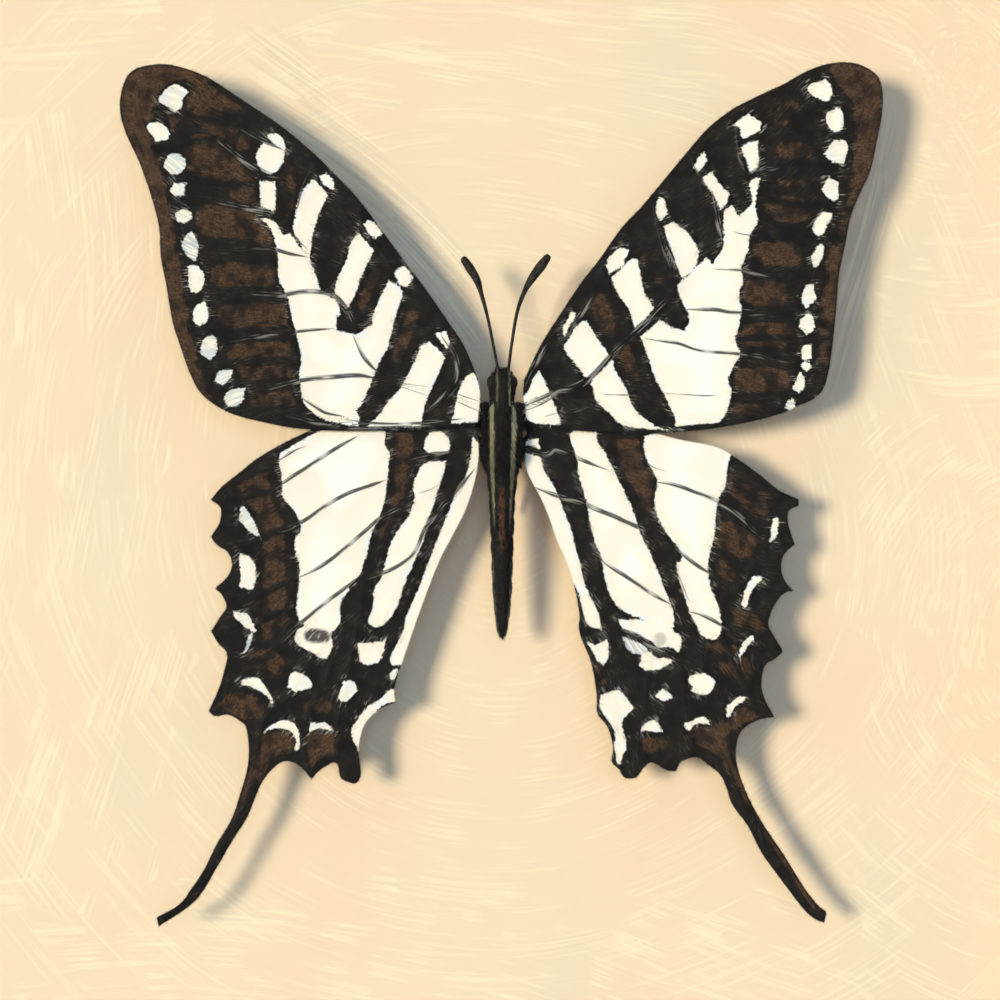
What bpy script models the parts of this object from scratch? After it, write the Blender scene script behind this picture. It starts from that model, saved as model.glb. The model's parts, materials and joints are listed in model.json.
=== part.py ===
"""A framed butterfly specimen: a set swallowtail on a cream board, in a glazed wooden box frame.

The frame stands on its bottom rail with +Z up, and its glass faces -Y. The origin is the middle of the
bottom face. Everything is modelled about an empty in the middle of the picture, where X runs across the
picture to the right, Z up it, and Y back into the frame.
"""

import math

import bmesh
import bpy
from mathutils import Matrix, Vector, geometry

MM = 0.001
GAP = 0.3 * MM

# The frame, which is square.
FRAME_SIDE = 152 * MM
FRAME_DEPTH = 32 * MM
RAIL_FACE = 14 * MM
LIP_DEPTH = 3 * MM
WALL = 7 * MM
MITRE_GAP = 0.2 * MM
OUTER_BEVEL = 1 * MM
SIGHT_BEVEL_WIDTH = 2 * MM
SIGHT_BEVEL_DEPTH = 1.2 * MM

# The sheets and strips that lie in the rabbet, from the glass to the back panel.
SHEET_PLAY = 0.5 * MM
GLASS_THICKNESS = 2 * MM
SPACER_DEPTH = 13.4 * MM
SPACER_THICKNESS = 6 * MM
BOARD_THICKNESS = 3 * MM
PANEL_THICKNESS = 3 * MM

# Thin steel points, pushed into slots in the rails, hold the back panel in.
POINT_WIDTH = 6 * MM
POINT_LENGTH = 9 * MM
POINT_THICKNESS = 0.5 * MM
POINT_BITE = 2.5 * MM
POINT_OFFSET = 34 * MM

# The sawtooth hanger lies in a pocket in the back of the top rail.
HANGER_LENGTH = 44 * MM
HANGER_HEIGHT = 6.5 * MM
HANGER_THICKNESS = 1 * MM
HANGER_TEETH = 11
HANGER_TOOTH = 1.4 * MM
HANGER_END = 5 * MM
POCKET_DEPTH = 4 * MM
POCKET_CEILING = 4.5 * MM
POCKET_END = 3 * MM
NAIL_OFFSET = 19 * MM
NAIL_DROP = 1.9 * MM
NAIL_RADIUS = 0.6 * MM
NAIL_LENGTH = 5.5 * MM
NAIL_HEAD_RADIUS = 1.4 * MM
NAIL_HEAD_EDGE = 1.1 * MM
NAIL_HEAD_THICKNESS = 0.7 * MM
NAIL_SIDES = 12

# Heights are above the front of the board, towards the glass.
FOREWING_HEIGHT = 6.1 * MM
HINDWING_HEIGHT = 5.4 * MM
WING_THICKNESS = 0.3 * MM
WING_SPAN = 35 * MM
TIP_LIFT = 0.6 * MM
RIM_SPACING = 0.85 * MM
INNER_SPACING = 3 * MM
INNER_CLEARANCE = 1.5 * MM

BODY_HEIGHT = 5.9 * MM
BODY_ACROSS = 0.2 * MM
BODY_SIDES = 16
EYE_PLACE = (1.0, 10.75)
EYE_RADII = (0.62, 0.8, 0.8)
PALP_PLACE = (0.42, 11.7)
PALP_RADII = (0.24, 0.5, 0.42)
LEG_SIDES = 6
ANTENNA_HEIGHT = 6.6 * MM
ANTENNA_SIDES = 8

# The pin goes through the board from behind, and into the underside of the thorax.
PIN_UP = 6 * MM
PIN_RADIUS = 0.3 * MM
PIN_HEAD_RADIUS = 1 * MM
PIN_HEAD_THICKNESS = 0.6 * MM
PIN_TIP_HEIGHT = 5.2 * MM
PIN_SIDES = 12

# Places from the front of the frame to its back, along Y.
FRONT = -FRAME_DEPTH / 2
BACK = FRAME_DEPTH / 2
GLASS_FRONT = FRONT + LIP_DEPTH + GAP
SPACER_FRONT = GLASS_FRONT + GLASS_THICKNESS + GAP
BOARD_FRONT = SPACER_FRONT + SPACER_DEPTH + GAP
BOARD_BACK = BOARD_FRONT + BOARD_THICKNESS
PANEL_FRONT = BOARD_BACK + GAP
POINT_FRONT = PANEL_FRONT + PANEL_THICKNESS + GAP
PLATE_FRONT = BACK - POCKET_DEPTH + GAP
PLATE_BACK = PLATE_FRONT + HANGER_THICKNESS

# Places up from the middle of the picture.
HALF_FRAME = FRAME_SIDE / 2
HALF_CAVITY = HALF_FRAME - WALL
HALF_SHEET = HALF_CAVITY - SHEET_PLAY
POCKET_TOP = HALF_CAVITY + POCKET_CEILING
HANGER_TOP = POCKET_TOP - GAP
HANGER_BOTTOM = HANGER_TOP - HANGER_HEIGHT
NAIL_UP = HANGER_TOP - NAIL_DROP

# Each wing's outline is a closed line of stretches, in millimetres across and up the picture. A stretch is
# one smooth curve through its points, and two stretches meet at a corner.
FOREWING_LEFT = [
    [(-2.05, 11.2), (-3.4, 14.3), (-4.8, 16.4), (-6.8, 19.3), (-9.0, 22.2), (-13.0, 27.6), (-15.0, 29.7),
     (-17.0, 31.7), (-20.0, 34.2), (-24.0, 36.9), (-27.0, 38.8), (-30.0, 39.8), (-32.0, 39.8),
     (-33.7, 39.2), (-34.5, 37.8), (-34.75, 35.8), (-34.3, 33.8), (-33.0, 30.9), (-32.0, 28.1),
     (-31.2, 25.0), (-31.0, 22.0), (-30.5, 19.5), (-30.0, 16.5), (-29.3, 14.2), (-28.2, 11.2),
     (-27.2, 9.6), (-25.0, 8.1), (-22.0, 7.2), (-18.0, 6.5), (-12.0, 6.35), (-6.0, 6.6), (-2.1, 6.9)],
    [(-2.1, 6.9), (-1.95, 8.2), (-1.85, 9.6), (-2.05, 11.2)],
]
FOREWING_RIGHT = [
    [(2.2, 11.0), (3.8, 14.3), (5.9, 17.6), (7.5, 20.0), (9.0, 21.9), (11.2, 25.0), (13.0, 26.9),
     (15.0, 29.3), (17.0, 31.7), (19.0, 34.0), (21.0, 35.6), (23.0, 36.7), (26.0, 38.1), (28.0, 39.2),
     (30.0, 39.9), (32.2, 40.0), (33.8, 39.4), (34.7, 38.5), (35.0, 37.0), (34.9, 35.0), (34.5, 33.0),
     (33.9, 30.2), (32.9, 28.0), (32.1, 26.0), (31.5, 23.0), (31.0, 20.5), (30.8, 18.0), (30.4, 14.0),
     (30.0, 11.5), (29.6, 10.2), (28.7, 9.25), (27.2, 8.6), (25.7, 7.9), (21.0, 6.8), (15.0, 6.15),
     (8.0, 6.3), (2.45, 6.9)],
    [(2.45, 6.9), (2.35, 8.2), (2.15, 9.6), (2.2, 11.0)],
]
HINDWING_LEFT = [
    [(-2.1, 6.6), (-6.0, 8.2), (-11.0, 8.2), (-15.0, 7.3), (-18.4, 5.95), (-22.0, 4.0), (-24.0, 2.45),
     (-25.6, 1.15), (-26.55, 0.0)],
    [(-26.55, 0.0), (-25.85, -0.45), (-25.6, -0.9), (-25.75, -2.1), (-26.55, -3.4)],
    [(-26.55, -3.4), (-25.9, -4.2), (-25.0, -4.8), (-24.6, -5.9), (-25.0, -7.0), (-26.15, -8.1)],
    [(-26.15, -8.1), (-25.6, -8.6), (-25.1, -9.8), (-25.6, -10.6), (-26.5, -12.05)],
    [(-26.5, -12.05), (-25.9, -13.1), (-25.05, -14.1), (-25.3, -15.6), (-25.8, -17.3), (-26.75, -19.4)],
    [(-26.75, -19.4), (-26.1, -19.85), (-25.0, -19.7), (-24.0, -20.2), (-23.3, -20.9), (-23.1, -24.0),
     (-24.0, -27.5), (-24.7, -29.4), (-26.0, -31.6), (-27.2, -34.0), (-28.4, -35.8), (-29.4, -37.1),
     (-31.5, -38.3)],
    [(-31.5, -38.3), (-31.3, -39.1)],
    [(-31.3, -39.1), (-29.1, -37.7), (-27.9, -36.7), (-27.0, -35.5), (-26.2, -34.1), (-24.4, -31.0),
     (-23.2, -29.1), (-22.0, -26.2), (-21.1, -24.9), (-20.1, -24.1), (-19.3, -24.0), (-18.3, -24.5),
     (-17.3, -25.65)],
    [(-17.3, -25.65), (-16.8, -25.05), (-16.0, -24.45), (-15.05, -24.15), (-14.65, -25.5), (-14.0, -25.9),
     (-13.2, -26.0), (-12.8, -25.2), (-13.0, -22.9), (-12.5, -20.7), (-11.3, -19.4), (-9.6, -18.6)],
    [(-9.6, -18.6), (-9.75, -17.5), (-9.0, -14.9), (-7.3, -10.0), (-5.6, -5.6), (-4.4, -3.3),
     (-3.2, -0.9), (-2.3, 1.9), (-1.95, 4.2)],
    [(-1.95, 4.2), (-2.1, 6.6)],
]
HINDWING_RIGHT = [
    [(2.5, 6.6), (6.0, 7.8), (10.0, 7.5), (13.5, 6.4), (16.0, 5.65), (20.0, 4.8), (21.3, 4.1),
     (24.0, 2.2), (25.5, 0.95), (27.4, 0.05)],
    [(27.4, 0.05), (27.4, -0.5)],
    [(27.4, -0.5), (26.6, -0.9), (26.4, -1.4), (26.5, -2.4), (27.05, -4.1)],
    [(27.05, -4.1), (26.4, -4.6), (25.9, -5.4), (25.85, -6.6), (26.2, -7.5), (26.85, -8.3)],
    [(26.85, -8.3), (26.1, -8.55), (25.4, -9.3), (24.85, -10.4), (24.65, -11.5), (25.1, -12.4),
     (26.0, -13.9)],
    [(26.0, -13.9), (25.2, -14.6), (24.4, -15.1), (24.0, -16.6), (24.2, -18.0), (25.15, -19.9)],
    [(25.15, -19.9), (24.0, -20.1), (22.9, -20.6), (22.1, -21.3), (21.7, -22.5), (21.7, -24.0),
     (22.5, -26.6), (24.0, -29.5), (26.0, -32.5), (28.0, -35.7), (29.1, -37.1), (29.95, -37.8)],
    [(29.95, -37.8), (29.75, -38.75)],
    [(29.75, -38.75), (29.0, -38.5), (28.0, -37.7), (26.0, -35.1), (24.1, -32.5), (22.8, -30.0),
     (21.3, -27.9), (20.8, -26.4), (20.2, -25.2), (19.3, -24.45), (18.2, -23.65), (17.4, -23.7),
     (16.6, -24.05), (16.15, -24.9)],
    [(16.15, -24.9), (15.4, -24.85), (14.6, -24.4), (13.9, -24.1), (13.2, -24.6), (12.6, -25.4),
     (12.0, -25.6), (11.3, -25.4), (11.0, -24.8), (10.3, -24.1), (10.4, -22.8), (9.9, -20.9),
     (8.95, -19.6), (8.9, -18.0), (8.4, -15.0), (7.3, -12.1), (7.3, -10.4), (6.6, -7.1), (5.3, -3.8),
     (4.1, -0.5), (3.0, 1.6), (2.4, 3.0), (2.35, 4.2)],
    [(2.35, 4.2), (2.5, 6.6)],
]

# Up the picture, half the width and half the depth of the body in millimetres, from head to tail.
BODY_RINGS = [
    (11.95, 0.35, 0.5), (11.6, 0.95, 1.15), (10.9, 1.25, 1.45), (10.1, 1.3, 1.5), (9.4, 1.15, 1.3),
    (8.9, 1.25, 1.5), (8.2, 1.6, 2.0), (7.0, 1.85, 2.3), (5.4, 1.9, 2.35), (4.0, 1.75, 2.1),
    (2.8, 1.5, 1.6), (1.6, 1.4, 1.45), (0.0, 1.25, 1.5), (-2.0, 1.18, 1.45), (-4.5, 1.1, 1.35),
    (-7.0, 1.02, 1.2), (-9.2, 0.85, 1.0), (-11.0, 0.62, 0.75), (-12.2, 0.38, 0.45), (-12.65, 0.16, 0.2),
]

# Out from the body's middle, up the picture, height and radius in millimetres, down each folded leg.
LEGS = [
    [(0.9, 8.3, 4.4, 0.34), (2.6, 8.7, 3.1, 0.26), (1.3, 6.9, 2.4, 0.2), (0.7, 5.5, 2.1, 0.14)],
    [(1.1, 6.6, 4.3, 0.36), (3.4, 6.9, 2.7, 0.28), (2.0, 4.6, 2.2, 0.2), (1.1, 2.4, 2.0, 0.14)],
    [(1.0, 4.8, 4.4, 0.36), (3.0, 4.7, 2.8, 0.28), (1.6, 1.8, 2.4, 0.2), (0.8, -1.2, 2.2, 0.14)],
]

# Across and up the picture and the radius in millimetres, from the head to the end of the club.
ANTENNAE = {
    "antenna_left": [
        (-0.3, 12.45, 0.17), (-0.6, 14.1, 0.17), (-1.2, 17.0, 0.19), (-1.75, 19.0, 0.24),
        (-2.1, 20.1, 0.36), (-2.75, 21.2, 0.45), (-3.3, 22.0, 0.38), (-3.5, 22.25, 0.18)],
    "antenna_right": [
        (0.85, 12.45, 0.18), (1.05, 14.1, 0.18), (1.6, 17.3, 0.2), (2.3, 19.2, 0.26),
        (2.95, 20.3, 0.4), (3.75, 21.4, 0.5), (4.35, 22.2, 0.38), (4.55, 22.45, 0.18)],
}


def clear_scene():
    for thing in list(bpy.data.objects):
        bpy.data.objects.remove(thing)


def add_picture_centre():
    """The empty that every piece hangs from."""
    centre = bpy.data.objects.new("picture_centre", None)
    centre.location.z = HALF_FRAME
    bpy.context.scene.collection.objects.link(centre)


def material(name, colour, roughness, metallic=0.0, clear=0.0):
    made = bpy.data.materials.new(name)
    made.use_nodes = True
    shader = made.node_tree.nodes["Principled BSDF"]
    shader.inputs["Base Color"].default_value = (*colour, 1.0)
    shader.inputs["Roughness"].default_value = roughness
    shader.inputs["Metallic"].default_value = metallic
    shader.inputs["Transmission Weight"].default_value = clear
    return made


def place(name, mesh, quarter_turns=0):
    """An object about the middle of the picture, turned clockwise by quarters as seen from the front."""
    made = bpy.data.objects.new(name, mesh)
    made.parent = bpy.data.objects["picture_centre"]
    made.rotation_euler.y = quarter_turns * math.pi / 2
    bpy.context.scene.collection.objects.link(made)
    return made


def add_object(name, work, finish=None, quarter_turns=0):
    """An object from a bmesh, which is used up, with its faces turned to point outwards."""
    bmesh.ops.recalc_face_normals(work, faces=work.faces)
    mesh = bpy.data.meshes.new(name)
    work.to_mesh(mesh)
    work.free()
    if finish:
        mesh.materials.append(finish)
    return place(name, mesh, quarter_turns)


def shade_round(thing):
    thing.data.shade_smooth()
    thing.data.set_sharp_from_angle(angle=math.radians(40))


def combine(target, others, operation):
    """Cuts others from the target, or joins them to it, and removes them."""
    for other in others:
        step = target.modifiers.new(other.name, "BOOLEAN")
        step.operation = operation
        step.object = other
    graph = bpy.context.evaluated_depsgraph_get()
    target.data = bpy.data.meshes.new_from_object(target.evaluated_get(graph))
    target.modifiers.clear()
    for other in others:
        bpy.data.objects.remove(other)


def block(name, low, high, finish=None, quarter_turns=0):
    low, high = Vector(low), Vector(high)
    work = bmesh.new()
    bmesh.ops.create_cube(work, size=1.0, matrix=Matrix.LocRotScale((low + high) / 2, None, high - low))
    return add_object(name, work, finish, quarter_turns)


def turned(name, across, up, profile, sides, finish=None):
    """A round piece along Y at a place on the picture. Its profile is a list of (depth, radius)."""
    work = bmesh.new()
    ends = (profile[0][0], 0.0), (profile[-1][0], 0.0)
    line = [work.verts.new((across, depth, up + radius)) for depth, radius in (ends[0], *profile, ends[1])]
    edges = [work.edges.new(pair) for pair in zip(line, line[1:])]
    bmesh.ops.spin(work, geom=line + edges, cent=(across, 0.0, up), axis=(0.0, 1.0, 0.0),
                   angle=2 * math.pi, steps=sides, use_merge=True)
    bmesh.ops.remove_doubles(work, verts=work.verts, dist=0.001 * MM)
    made = add_object(name, work, finish)
    shade_round(made)
    return made


def extruded(name, outline, start, end, finish=None):
    """A closed outline of (across, up) points, made solid between two depths."""
    work = bmesh.new()
    work.faces.new([work.verts.new((across, start, up)) for across, up in outline])
    grown = bmesh.ops.extrude_face_region(work, geom=work.faces)
    moved = [part for part in grown["geom"] if isinstance(part, bmesh.types.BMVert)]
    bmesh.ops.translate(work, verts=moved, vec=(0.0, end - start, 0.0))
    return add_object(name, work, finish)


def lofted(name, rings, sides, finish=None):
    """A round form through rings, each a matrix that places a circle of radius 1, with closed ends."""
    work = bmesh.new()
    last_edges = []
    for ring in rings:
        made = bmesh.ops.create_circle(work, segments=sides, radius=1.0, matrix=ring)
        edges = list({edge for vertex in made["verts"] for edge in vertex.link_edges})
        if last_edges:
            bmesh.ops.bridge_loops(work, edges=last_edges + edges)
        last_edges = edges
    bmesh.ops.holes_fill(work, edges=work.edges)
    made = add_object(name, work, finish)
    shade_round(made)
    return made


def on_picture(across, up, height):
    """A place given in millimetres across and up the picture, and a height in front of the board."""
    return Vector((across * MM, BOARD_FRONT - height, up * MM))


def tube_rings(path):
    """Rings square to a path of (place, radius) pairs."""
    places = [place for place, _ in path]
    before = [places[0], *places]
    after = [*places[1:], places[-1]]
    rings = []
    for (middle, radius), back, ahead in zip(path, before, after):
        facing = (ahead - back).to_track_quat("Z", "Y")
        rings.append(Matrix.LocRotScale(middle, facing, (radius, radius, radius)))
    return rings


def ball(name, middle, radii):
    work = bmesh.new()
    stretched = Matrix.LocRotScale(middle, None, radii)
    bmesh.ops.create_icosphere(work, subdivisions=2, radius=MM, matrix=stretched)
    return add_object(name, work)


def rail_section():
    """(inwards from the outer face, depth) round a rail's section: a lip in front and a wall behind it."""
    return [
        (0.0, BACK),
        (0.0, FRONT + OUTER_BEVEL),
        (OUTER_BEVEL, FRONT),
        (RAIL_FACE - SIGHT_BEVEL_WIDTH, FRONT),
        (RAIL_FACE, FRONT + SIGHT_BEVEL_DEPTH),
        (RAIL_FACE, FRONT + LIP_DEPTH),
        (WALL, FRONT + LIP_DEPTH),
        (WALL, BACK),
    ]


def build_plain_rail(wood):
    """The top rail: its section drawn on one mitre and extruded to the other."""
    work = bmesh.new()
    mitre = [work.verts.new((inwards - HALF_FRAME + MITRE_GAP / 2, depth, HALF_FRAME - inwards))
             for inwards, depth in rail_section()]
    work.faces.new(mitre)
    grown = bmesh.ops.extrude_face_region(work, geom=work.faces)
    for part in grown["geom"]:
        if isinstance(part, bmesh.types.BMVert):
            part.co.x = -part.co.x
    return add_object("rail_top", work, wood)


def point_block(name, side, margin, finish=None, quarter_turns=0):
    """One framer's point in the top rail, or with a margin the slot that it sits in."""
    middle = side * POINT_OFFSET
    root = HALF_CAVITY + POINT_BITE
    return block(name, (middle - POINT_WIDTH / 2 - margin, POINT_FRONT - margin, root - POINT_LENGTH),
                 (middle + POINT_WIDTH / 2 + margin, POINT_FRONT + POINT_THICKNESS + margin, root + margin),
                 finish, quarter_turns)


def build_rails(wood):
    """Four rails alike, with a slot for each framer's point. The top one also has the hanger's pocket."""
    top = build_plain_rail(wood)
    combine(top, [point_block(f"slot_{side}", side, GAP) for side in (-1, 1)], "DIFFERENCE")
    for quarter_turns, name in ((1, "rail_right"), (2, "rail_bottom"), (3, "rail_left")):
        place(name, top.data.copy(), quarter_turns)
    reach = HANGER_LENGTH / 2 + POCKET_END
    pocket = block("pocket", (-reach, BACK - POCKET_DEPTH, HALF_CAVITY - GAP),
                   (reach, BACK + GAP, POCKET_TOP))
    combine(top, [pocket, nail_hole(-1), nail_hole(1)], "DIFFERENCE")


def build_sheets(glass, board_paper, fibreboard):
    """The glass, the backing board with the pin's hole in it, and the back panel."""
    sheets = (
        ("glass_pane", GLASS_FRONT, GLASS_THICKNESS, glass),
        ("backing_board", BOARD_FRONT, BOARD_THICKNESS, board_paper),
        ("back_panel", PANEL_FRONT, PANEL_THICKNESS, fibreboard),
    )
    for name, front, thickness, finish in sheets:
        block(name, (-HALF_SHEET, front, -HALF_SHEET), (HALF_SHEET, front + thickness, HALF_SHEET), finish)
    combine(bpy.data.objects["backing_board"], [pin("pin_hole", GAP)], "DIFFERENCE")


def build_spacers(paper):
    """Four strips that hold the glass off the board: the top and bottom ones run the full width."""
    inner = HALF_SHEET - SPACER_THICKNESS
    for quarter_turns, edge in enumerate(("top", "right", "bottom", "left")):
        reach = HALF_SHEET if edge in ("top", "bottom") else inner - GAP
        block(f"spacer_{edge}", (-reach, SPACER_FRONT, inner),
              (reach, SPACER_FRONT + SPACER_DEPTH, HALF_SHEET), paper, quarter_turns)


def build_points(steel):
    """Two framer's points to a rail."""
    for quarter_turns, edge in enumerate(("top", "right", "bottom", "left")):
        for number, side in enumerate((-1, 1), start=1):
            point_block(f"framers_point_{edge}_{number}", side, 0.0, steel, quarter_turns)


def nail_hole(side):
    """A cutter for a nail's hole, through the hanger's plate and into the rail."""
    radius = NAIL_RADIUS + GAP
    profile = [(PLATE_BACK - NAIL_LENGTH - GAP, radius), (BACK, radius)]
    return turned(f"nail_hole_{side}", side * NAIL_OFFSET, NAIL_UP, profile, NAIL_SIDES)


def build_hanger(steel):
    """A sawtooth plate with a nail at each end."""
    half = HANGER_LENGTH / 2
    root = HANGER_BOTTOM + HANGER_TOOTH
    start = HANGER_END - half
    pitch = -2 * start / HANGER_TEETH
    outline = [(half, root), (half, HANGER_TOP), (-half, HANGER_TOP), (-half, root), (start, root)]
    for tooth in range(HANGER_TEETH):
        outline.append((start + (tooth + 0.5) * pitch, HANGER_BOTTOM))
        outline.append((start + (tooth + 1) * pitch, root))
    plate = extruded("sawtooth_hanger", outline, PLATE_FRONT, PLATE_BACK, steel)
    combine(plate, [nail_hole(-1), nail_hole(1)], "DIFFERENCE")
    seat = PLATE_BACK + GAP
    profile = [(seat - NAIL_LENGTH, NAIL_RADIUS), (seat, NAIL_RADIUS), (seat, NAIL_HEAD_RADIUS),
               (seat + NAIL_HEAD_THICKNESS, NAIL_HEAD_EDGE)]
    for word, side in (("left", -1), ("right", 1)):
        turned(f"hanger_nail_{word}", side * NAIL_OFFSET, NAIL_UP, profile, NAIL_SIDES, steel)


def smooth_line(points):
    """Points along a smooth curve through the given ones, all but the last."""
    knots = [Vector(point) * MM for point in points]
    around = [knots[0], *knots, knots[-1]]
    line = []
    for before, start, end, after in zip(around, around[1:], around[2:], around[3:]):
        reach = (end - start).length
        out = start + (end - before).normalized() * reach / 3
        back = end - (after - start).normalized() * reach / 3
        pieces = max(1, round(reach / RIM_SPACING))
        line += geometry.interpolate_bezier(start, out, back, end, pieces + 1)[:-1]
    return line


def is_inside(point, rim):
    """Whether a line to the right of the point crosses the rim an odd number of times."""
    crossings = 0
    for start, end in zip(rim, rim[1:] + rim[:1]):
        if (start.y > point.y) != (end.y > point.y):
            share = (point.y - start.y) / (end.y - start.y)
            crossings += start.x + share * (end.x - start.x) > point.x
    return crossings % 2 == 1


def inner_points(rim):
    """Points of a square grid that lie inside the rim and clear of it."""
    steps = range(-14, 15)
    grid = [Vector((column * INNER_SPACING, row * INNER_SPACING)) for column in steps for row in steps]
    return [point for point in grid if is_inside(point, rim)
            and min((point - corner).length for corner in rim) > INNER_CLEARANCE]


def build_wing(name, stretches, height, finish):
    """A thin plate with the wing's outline, which rises a little towards its tip."""
    rim = [point for stretch in stretches for point in smooth_line(stretch)]
    edges = [(i, (i + 1) % len(rim)) for i in range(len(rim))]
    points, _, triangles, *_ = geometry.delaunay_2d_cdt(rim + inner_points(rim), edges, [], 1, 0.001 * MM)
    work = bmesh.new()
    front = []
    for x, z in points:
        lift = TIP_LIFT * (x / WING_SPAN) ** 2
        front.append(work.verts.new((x, BOARD_FRONT - height - lift, z)))
    for corners in triangles:
        work.faces.new([front[i] for i in corners])
    grown = bmesh.ops.extrude_face_region(work, geom=work.faces)
    moved = [part for part in grown["geom"] if isinstance(part, bmesh.types.BMVert)]
    bmesh.ops.translate(work, verts=moved, vec=(0.0, WING_THICKNESS, 0.0))
    add_object(name, work, finish)


def build_body(finish):
    """Head, thorax and abdomen, with the eyes, palps and folded legs grown on as one piece."""
    across = BODY_ACROSS / MM
    rings = [Matrix.LocRotScale(on_picture(across, up, BODY_HEIGHT), None, (width * MM, depth * MM, MM))
             for up, width, depth in BODY_RINGS]
    body = lofted("body", rings, BODY_SIDES, finish)
    grown = []
    for side in (-1, 1):
        for word, (out, up), radii in (("eye", EYE_PLACE, EYE_RADII), ("palp", PALP_PLACE, PALP_RADII)):
            grown.append(ball(f"{word}_{side}", on_picture(across + side * out, up, BODY_HEIGHT), radii))
        for number, leg in enumerate(LEGS):
            path = [(on_picture(across + side * out, up, height * MM), radius * MM)
                    for out, up, height, radius in leg]
            grown.append(lofted(f"leg_{side}_{number}", tube_rings(path), LEG_SIDES))
    combine(body, grown, "UNION")
    combine(body, [pin("pin_pocket", GAP)], "DIFFERENCE")
    shade_round(body)


def build_antennae(finish):
    for name, points in ANTENNAE.items():
        path = [(on_picture(across, up, ANTENNA_HEIGHT), radius * MM) for across, up, radius in points]
        lofted(name, tube_rings(path), ANTENNA_SIDES, finish)


def pin(name, margin, finish=None):
    """The mounting pin, with its head let into the back of the board, or with a margin the room for it."""
    tip = BOARD_FRONT - PIN_TIP_HEIGHT - margin
    under_head = BOARD_BACK - PIN_HEAD_THICKNESS - margin
    shaft, head = PIN_RADIUS + margin, PIN_HEAD_RADIUS + margin
    profile = [(tip, shaft), (under_head, shaft), (under_head, head), (BOARD_BACK + margin, head)]
    return turned(name, BODY_ACROSS, PIN_UP, profile, PIN_SIDES, finish)


def build():
    clear_scene()
    add_picture_centre()
    build_rails(material("dark stained wood", (0.045, 0.026, 0.017), 0.45))
    build_sheets(material("picture glass", (1.0, 1.0, 1.0), 0.0, clear=1.0),
                 material("cream board", (0.93, 0.79, 0.58), 0.8),
                 material("brown fibreboard", (0.27, 0.16, 0.085), 0.85))
    build_spacers(material("cream paper strip", (0.86, 0.76, 0.6), 0.8))
    build_points(material("tinned steel", (0.6, 0.6, 0.6), 0.4, metallic=1.0))
    build_hanger(material("zinc plated steel", (0.62, 0.62, 0.65), 0.3, metallic=1.0))
    build_body(material("black body hair", (0.02, 0.018, 0.015), 0.75))
    build_antennae(material("black horn", (0.02, 0.018, 0.016), 0.5))
    scales = material("black and cream wing scales", (0.12, 0.1, 0.085), 0.7)
    build_wing("forewing_left", FOREWING_LEFT, FOREWING_HEIGHT, scales)
    build_wing("forewing_right", FOREWING_RIGHT, FOREWING_HEIGHT, scales)
    build_wing("hindwing_left", HINDWING_LEFT, HINDWING_HEIGHT, scales)
    build_wing("hindwing_right", HINDWING_RIGHT, HINDWING_HEIGHT, scales)
    pin("mounting_pin", 0.0, material("steel pin", (0.55, 0.54, 0.52), 0.3, metallic=1.0))


build()
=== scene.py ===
# %% [markdown]
# A butterfly in a box frame
#
# The finished object is a set swallowtail that floats on a pin in front of a cream board, behind glass, in
# a dark wooden frame. Another script made its pieces as plain solids at their real size. This lesson keeps
# their places and gives each of them the look of the real thing: scales and veins on the wings, hair on the
# body, brush marks on the board, grain in the wood.
#
# The solids are loaded first and never moved. A new piece that is finer than its solid stands in for it.

# %% Load the solids
import json
import math

import bpy
import numpy as np
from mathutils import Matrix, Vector, geometry

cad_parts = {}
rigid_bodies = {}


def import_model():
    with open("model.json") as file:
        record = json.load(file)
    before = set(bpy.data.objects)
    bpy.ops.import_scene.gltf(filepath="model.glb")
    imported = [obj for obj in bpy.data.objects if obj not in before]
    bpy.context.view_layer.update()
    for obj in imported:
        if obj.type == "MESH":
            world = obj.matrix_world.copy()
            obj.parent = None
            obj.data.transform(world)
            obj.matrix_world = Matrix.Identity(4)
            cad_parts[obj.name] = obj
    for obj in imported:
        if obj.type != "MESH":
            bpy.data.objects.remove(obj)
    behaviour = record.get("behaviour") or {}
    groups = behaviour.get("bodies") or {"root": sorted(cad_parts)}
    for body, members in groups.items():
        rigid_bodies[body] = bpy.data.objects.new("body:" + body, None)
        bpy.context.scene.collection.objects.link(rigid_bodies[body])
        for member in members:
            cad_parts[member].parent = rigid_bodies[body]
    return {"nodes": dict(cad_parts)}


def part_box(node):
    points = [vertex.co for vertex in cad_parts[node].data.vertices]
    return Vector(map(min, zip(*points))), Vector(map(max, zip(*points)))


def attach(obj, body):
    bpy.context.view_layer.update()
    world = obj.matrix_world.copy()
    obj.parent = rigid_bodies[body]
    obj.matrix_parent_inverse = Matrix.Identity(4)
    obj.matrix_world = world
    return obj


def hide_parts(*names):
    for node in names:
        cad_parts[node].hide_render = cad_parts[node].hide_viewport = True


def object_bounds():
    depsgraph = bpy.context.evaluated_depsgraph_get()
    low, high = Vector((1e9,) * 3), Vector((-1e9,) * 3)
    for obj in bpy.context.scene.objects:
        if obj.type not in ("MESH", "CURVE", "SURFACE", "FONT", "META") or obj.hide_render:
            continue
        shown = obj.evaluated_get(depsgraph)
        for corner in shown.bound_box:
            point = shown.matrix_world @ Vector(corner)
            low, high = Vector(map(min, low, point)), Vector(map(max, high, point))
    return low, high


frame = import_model()
nodes = frame["nodes"]
cad_low, cad_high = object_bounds()
MM = 0.001
CENTRE_UP = (cad_low.z + cad_high.z) / 2
BOARD_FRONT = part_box("backing_board")[0].y
# The same two in millimetres, in which all the drawing is done.
UP_MM = CENTRE_UP / MM
BOARD_MM = BOARD_FRONT / MM
SIDES = ("top", "right", "bottom", "left")
print("solids:", len(nodes), "middle of the picture:", round(UP_MM, 1), "mm up")

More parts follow.
